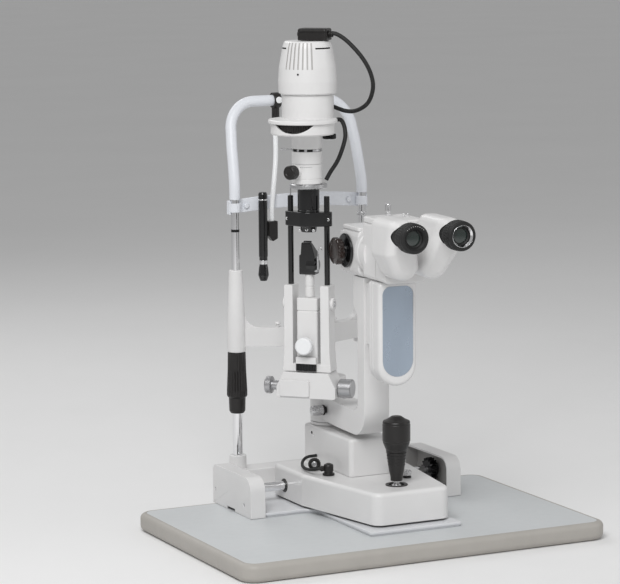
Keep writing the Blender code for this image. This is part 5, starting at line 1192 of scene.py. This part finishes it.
def build_headrest():
    low, high = span("chinrest_base")
    posts = [span("post_left"), span("post_right")]
    front = (posts[0][0].y + posts[0][1].y) / 2 - 0.021
    outline = rounded([(front, high.z - 0.020, 0.002), (front, 0.006, 0.001), (low.y, 0.006, 0.001),
                       (low.y, low.z, 0.001), (high.y, low.z, 0.003), (high.y, high.z - 0.020, 0.002)])
    plinth = Shape().slab(outline, low.x, high.x, "X")
    for near, far in posts:
        x, y, _ = middle_of(near, far)
        plinth.turn([(0.0078, 0.030), (0.0128, 0.030), (0.0125, high.z - 0.001, 0.0008),
                     (0.0115, high.z), (0.0078, high.z)], 56, "Z", (x, y, 0))
    plinth.make("chinrest_base", PAINT, "table", slot="white_paint", bevel=0.0014, segments=3, angle=50)
    for name, (near, far) in zip(("post_left", "post_right"), posts):
        x, y, _ = middle_of(near, far)
        post = Shape().turn([(0, near.z), (0.0075, near.z), (0.0075, 0.205), (0.0060, 0.207),
                             (0.0060, far.z), (0, far.z)], 56, "Z", (x, y, 0), 0.0006)
        if name == "post_left":
            post.turn(pipe(0.0058, 0.00615, 0.3835, 0.3875), 56, "Z", (x, y, 0), 0.0001, look=1)
        else:
            post.turn([(0.0058, 0.3960), (0.0078, 0.3964), (0.0078, 0.4012), (0.0058, 0.4016)], 48, "Z",
                      (x, y, 0), 0.0003, look=0, flutes=(28, 0.0004, 0.3966, 0.4010))
        post.make(name, [CHROME, BLACK_METAL], "table", slot="chrome")

    post_x, post_y, _ = middle_of(*posts[1])
    top = posts[1][1].z
    loop_top = span("headrest_frame")[1].z - HEADREST_RADIUS
    shoulder, half = 0.043, post_x - 0.005
    side = [(post_x, top + TOUCH), (post_x, top + 0.015)]
    side += [(post_x - 0.003 * t, top + 0.015 + 0.062 * t) for t in (0.34, 0.67, 1.0)]
    arc = [(half - shoulder + shoulder * cos(a), loop_top - shoulder + shoulder * sin(a))
           for a in (i * pi / 24 for i in range(13))]
    right = side + arc + [((half - shoulder) * t, loop_top) for t in (0.5, 0.0)]
    line = right + [(-x, z) for x, z in right[-2::-1]]
    rise = loop_top - top - 0.015
    route = [(x, post_y + 0.035 * max(0, (z - top - 0.015) / rise) ** 1.2, z) for x, z in line]
    loop = Shape().tube(smooth_route(route, 0.006), HEADREST_RADIUS, 28)
    loop.make("headrest_frame", COOL_PLASTIC, "table", slot="white_paint")

    low, high = span("forehead_band")
    back, rows = post_y + 0.0063, 40
    near_line, far_line = [], []
    for i in range(rows + 1):
        x = low.x + (high.x - low.x) * i / rows
        dip = 0.010 * max(0, 1 - (x / (post_x - 0.008)) ** 2)
        near_line.append((x, back - dip))
        far_line.append((x, back + 0.003 - dip))
    band = Shape().slab(near_line + far_line[::-1], BAND_LOW, BAND_HIGH)

    def bow(co):
        co.z += 0.007 * max(0, 1 - (co.x / post_x) ** 2)

    band.each(bow)
    clips = Shape()
    for side in (-1, 1):
        xs = sorted((side * (post_x + 0.0063), side * high.x))
        band.box((xs[0], post_y - 0.001, BAND_LOW), (xs[1], back + 0.001, BAND_HIGH))
        clips.turn(pipe(0.0061, 0.0086, 0.4125, 0.4255), 48, "Z", (side * post_x, post_y, 0), 0.0006)
        clips.turn([(0, 0.0), (0.0040, 0.0), (0.0040, 0.0016), (0.0030, 0.0024), (0, 0.0026)], 28, "Y",
                   (side * (post_x - 0.020), back - 0.0032, 0.4205))
    band.make("forehead_band", COOL_PLASTIC, "table", slot="pale_plastic", bevel=0.0008, segments=3,
              angle=40)
    clips.make("band_clips", COOL_PLASTIC, "table", slot="pale_plastic")


def build_chin_rest():
    low, high = span("chin_carrier")
    post_x, post_y, _ = middle_of(*span("post_right"))
    bow, pin_x = 0.035, 0.046
    bar_low, bar_high, middle, end = 0.2145, 0.2425, post_y - bow, post_x - 0.0095
    outline = rounded([(end, post_y + 0.0085), (0.012, middle + 0.011, 0.02),
                       (-0.012, middle + 0.011, 0.02), (-end, post_y + 0.0085), (-end, post_y - 0.009),
                       (-0.012, middle - 0.009, 0.02), (0.012, middle - 0.009, 0.02),
                       (end, post_y - 0.009)])
    bar = Shape().slab(outline, bar_low, bar_high)
    slope = bow / (post_x - 0.012)
    inner, wide, tall = post_x - 0.034, 0.0235, 0.020
    turns = [pi / 2 * i / 8 for i in range(9)]
    curve = [(inner + wide * sin(a), bar_high + tall * (1 - cos(a))) for a in turns]
    curve += [(inner + wide, bar_high - 0.004), (inner, bar_high - 0.004)]

    def follow_bar(co):
        co.y -= slope * (end - abs(co.x))

    for side in (-1, 1):
        gusset = Shape().slab([(side * x, z) for x, z in curve], -post_y - 0.0070, -post_y + 0.0072,
                              "Y")
        bar.add(gusset.each(follow_bar))
    bar.make("chin_bar", PAINT, "chin", slot="white_paint", bevel=0.0022, segments=4, angle=45)
    sleeves = Shape()
    for side in (-1, 1):
        sleeves.turn([(0.0078, low.z), (0.0132, low.z, 0.0005), (0.0136, low.z + 0.002),
                      (0.0136, 0.240, 0.05), (0.0120, 0.275, 0.05), (0.0100, high.z - 0.0014, 0.0008),
                      (0.0090, high.z), (0.0063, high.z), (0.0063, high.z - 0.008),
                      (0.0078, high.z - 0.010)], 64, "Z", (side * post_x, post_y, 0))
        pin_y = post_y - bow * (1 - pin_x / post_x)
        sleeves.turn([(0, bar_high - 0.004), (0.0020, bar_high - 0.004), (0.0020, bar_high + 0.003),
                      (0.0050, bar_high + 0.0045, 0.0008), (0.0035, bar_high + 0.0075, 0.001),
                      (0, bar_high + 0.0080)], 32, "Z", (side * pin_x, pin_y, 0))
    sleeves.make("chin_sleeves", PAINT, "chin", slot="white_paint", node="chin_carrier")
    low, high = span("chin_cup")
    corners = [(-0.020, middle + 0.004, 0.015), (0.020, middle + 0.004, 0.015),
               (0, middle + 0.016, 0.020)]
    cup = Shape().shell(corners, edge_profile(low.z, high.z, 0.002, 0.0015, 4), steps=12)
    dish = Shape().turn([(0, low.z + 0.0042), (0.012, low.z + 0.0055, 0.01), (0.024, low.z + 0.0125),
                         (0.030, low.z + 0.020), (0, low.z + 0.020)], 64, "Z", (0, middle + 0.011, 0))
    cup.cut(dish)
    cup.make("chin_cup", COOL_PLASTIC, "chin", slot="pale_plastic", bevel=0.0005, segments=2, angle=60)
    low, high = span("chin_grip")
    grip = Shape().turn([(0.0078, low.z), (0.0095, low.z), (0.0102, low.z + 0.0006), (0.0118, 0.1200),
                         (0.0124, 0.1395), (0.0140, 0.1408), (0.0150, 0.1425), (0.0150, 0.1500),
                         (0.0136, 0.1800), (0.0131, high.z - 0.001), (0.0124, high.z),
                         (0.0078, high.z)], 72, "Z", (-post_x, post_y, 0), 0.0005,
                        flutes=(20, 0.0012, 0.1430, 0.2035))
    grip.make("chin_grip", BLACK_PLASTIC, "chin_grip", slot="black_plastic")


def build_fixation():
    x, top_y = JOINTS["fixation_swing"]["pos_m"][:2]
    loop_top = span("headrest_frame")[1].z - HEADREST_RADIUS
    clamp = Shape().turn([(0.0085, -0.0055), (0.0115, -0.0055, 0.0006), (0.0115, 0.0055, 0.0006),
                          (0.0085, 0.0055)], 48, "X", (x, top_y, loop_top))
    clamp.turn([(0, loop_top - 0.030), (0.0050, loop_top - 0.030, 0.0006), (0.0056, loop_top - 0.026),
                (0.0056, loop_top - 0.0095), (0, loop_top - 0.0095)], 40, "Z", (x, top_y, 0))
    clamp.turn([(0, 0.0105), (0.0048, 0.0105), (0.0048, 0.0130, 0.001), (0, 0.0138)], 32, "Y",
               (x + 0.0005, top_y, loop_top + 0.001), look=1)
    clamp.make("fixation_clamp", [BLACK_PLASTIC, KNOB_WHITE], "table", slot="black_plastic")
    block_top = 0.3975
    rod_top = loop_top - 0.0305
    route = [(0, 0, rod_top), (-0.001, 0, rod_top - 0.010), (-0.006, -0.012, rod_top - 0.030),
             (-0.013, -0.026, rod_top - 0.055), (-0.021, -0.037, rod_top - 0.085),
             (-0.028, -0.043, block_top + 0.020), (-0.028, -0.043, block_top - 0.004)]
    route = [(x + p[0], top_y + p[1], p[2]) for p in route]
    hanger = Shape().tube(smooth_route(route, 0.003), 0.0036, 24)
    hanger.turn([(0, rod_top - 0.006), (0.0036, rod_top - 0.006), (0.0052, rod_top - 0.0045),
                 (0.0052, rod_top), (0, rod_top)], 32, "Z", (x, top_y, 0))
    hanger.make("fixation_hanger", KNOB_WHITE, "fixation", slot="white_paint")
    low, high = (x - 0.0350, x - 0.0210), (block_top - 0.030, block_top)
    outline = rounded([(low[0], high[0] + 0.008, 0.001), (low[0] + 0.006, high[0], 0.002),
                       (low[1], high[0] + 0.004, 0.002), (low[1], high[1], 0.0015),
                       (low[0], high[1], 0.0015)])
    block = Shape().slab(outline, 0.0370 - top_y, 0.0490 - top_y, "Y")
    block.make("fixation_rod", BLACK_PLASTIC, "fixation", slot="black_plastic", bevel=0.001, segments=3,
               angle=45)
    low, high = span("fixation_lamp")
    at = (*middle_of(low, high)[:2], 0)
    lamp = Shape().turn([(0, low.z + 0.006), (0.0040, low.z + 0.006), (0.0040, low.z), (0.0050, low.z),
                         (0.0064, low.z + 0.0035, 0.001), (0.0078, low.z + 0.008, 0.001),
                         (0.0068, low.z + 0.019, 0.002), (0.0060, low.z + 0.0225),
                         (0.0060, low.z + 0.034), (0.0066, low.z + 0.036), (0.0066, high.z - 0.003),
                         (0.0052, high.z, 0.001), (0, high.z)], 48, "Z", at, 0.0003)
    lamp.turn([(0.0050, low.z + 0.0240), (0.00635, low.z + 0.0245), (0.00635, low.z + 0.0300),
               (0.0050, low.z + 0.0305)], 48, "Z", at, look=1)
    lamp.turn(pipe(0.0060, 0.00685, high.z - 0.012, high.z - 0.010), 48, "Z", at, look=1)
    lamp.make("fixation_lamp", [BLACK_GLOSS, CHROME], "fixation_lamp", slot="black_metal")


# ---------------------------------------------------------------- camera, light and floor

def set_camera():
    """A long lens, to the operator's left and a little above the horizon."""
    data = bpy.data.cameras.new("camera")
    data.lens = 161.54
    data.sensor_width = 36
    data.clip_start = 0.1
    camera = linked("camera", data)
    place, heading, down, roll = (-1.7685, -3.4142, 0.8985), -26.02, 8.19, -0.481
    camera.matrix_world = (Matrix.Translation(place) @ Matrix.Rotation(radians(heading), 4, "Z")
                           @ Matrix.Rotation(radians(90 - down), 4, "X")
                           @ Matrix.Rotation(radians(roll), 4, "Z"))
    bpy.context.scene.camera = camera


def area_light(name, place, target, size, power):
    data = bpy.data.lights.new(name, "AREA")
    data.shape = "RECTANGLE"
    data.size, data.size_y = size
    data.energy = power
    obj = linked(name, data)
    obj.location = place
    aim = Vector(target) - Vector(place)
    obj.rotation_euler = aim.to_track_quat("-Z", "Y").to_euler()


def set_studio():
    """An even pale surround, three soft lights and a floor that runs to the horizon."""
    bpy.context.scene.view_settings.view_transform = "Standard"
    world = bpy.data.worlds.new("studio")
    bpy.context.scene.world = world
    world.use_nodes = True
    back = world.node_tree.nodes["Background"]
    back.inputs["Color"].default_value = (1.0, 1.0, 1.0, 1)
    back.inputs["Strength"].default_value = 0.38
    area_light("key", (-1.3, -1.6, 2.2), (0, 0, 0.3), (1.4, 1.4), 50)
    area_light("fill", (2.0, -1.2, 1.1), (0, 0, 0.35), (1.2, 1.6), 6)
    area_light("rim", (-0.4, 1.9, 1.9), (0, 0, 0.4), (1.6, 1.0), 12)
    bm = bmesh.new()
    bmesh.ops.create_grid(bm, x_segments=1, y_segments=1, size=FLOOR_REACH)
    mesh = bpy.data.meshes.new("floor")
    bm.to_mesh(mesh)
    bm.free()
    mesh.materials.append(look("floor", (0.86, 0.86, 0.86), 0.7, grain=(30, 0.01), cloud=(2, 0.01)))
    linked("floor", mesh)


for node, material in (("lift_screw", MACHINED), ("slit_jaw_left", STEEL), ("slit_jaw_right", STEEL)):
    NODES[node].data.materials.clear()
    NODES[node].data.materials.append(material)

set_camera()
build_leads()
build_table()
build_slide_plate()
build_rail_cover("rail_cover_left", -1)
build_rail_cover("rail_cover_right", 1)
build_axle()
build_carriage()
build_joystick()
build_base_plug()
build_column()
build_microscope_arm()
build_magnification()
build_scope_body()
build_camera_unit()
build_eye_head(-1)
build_eye_head(1)
build_illumination_arm()
build_yoke()
build_mirror()
build_rods()
build_slit_unit()
build_disc_housing()
build_lamp()
build_headrest()
build_chin_rest()
build_fixation()
set_studio()
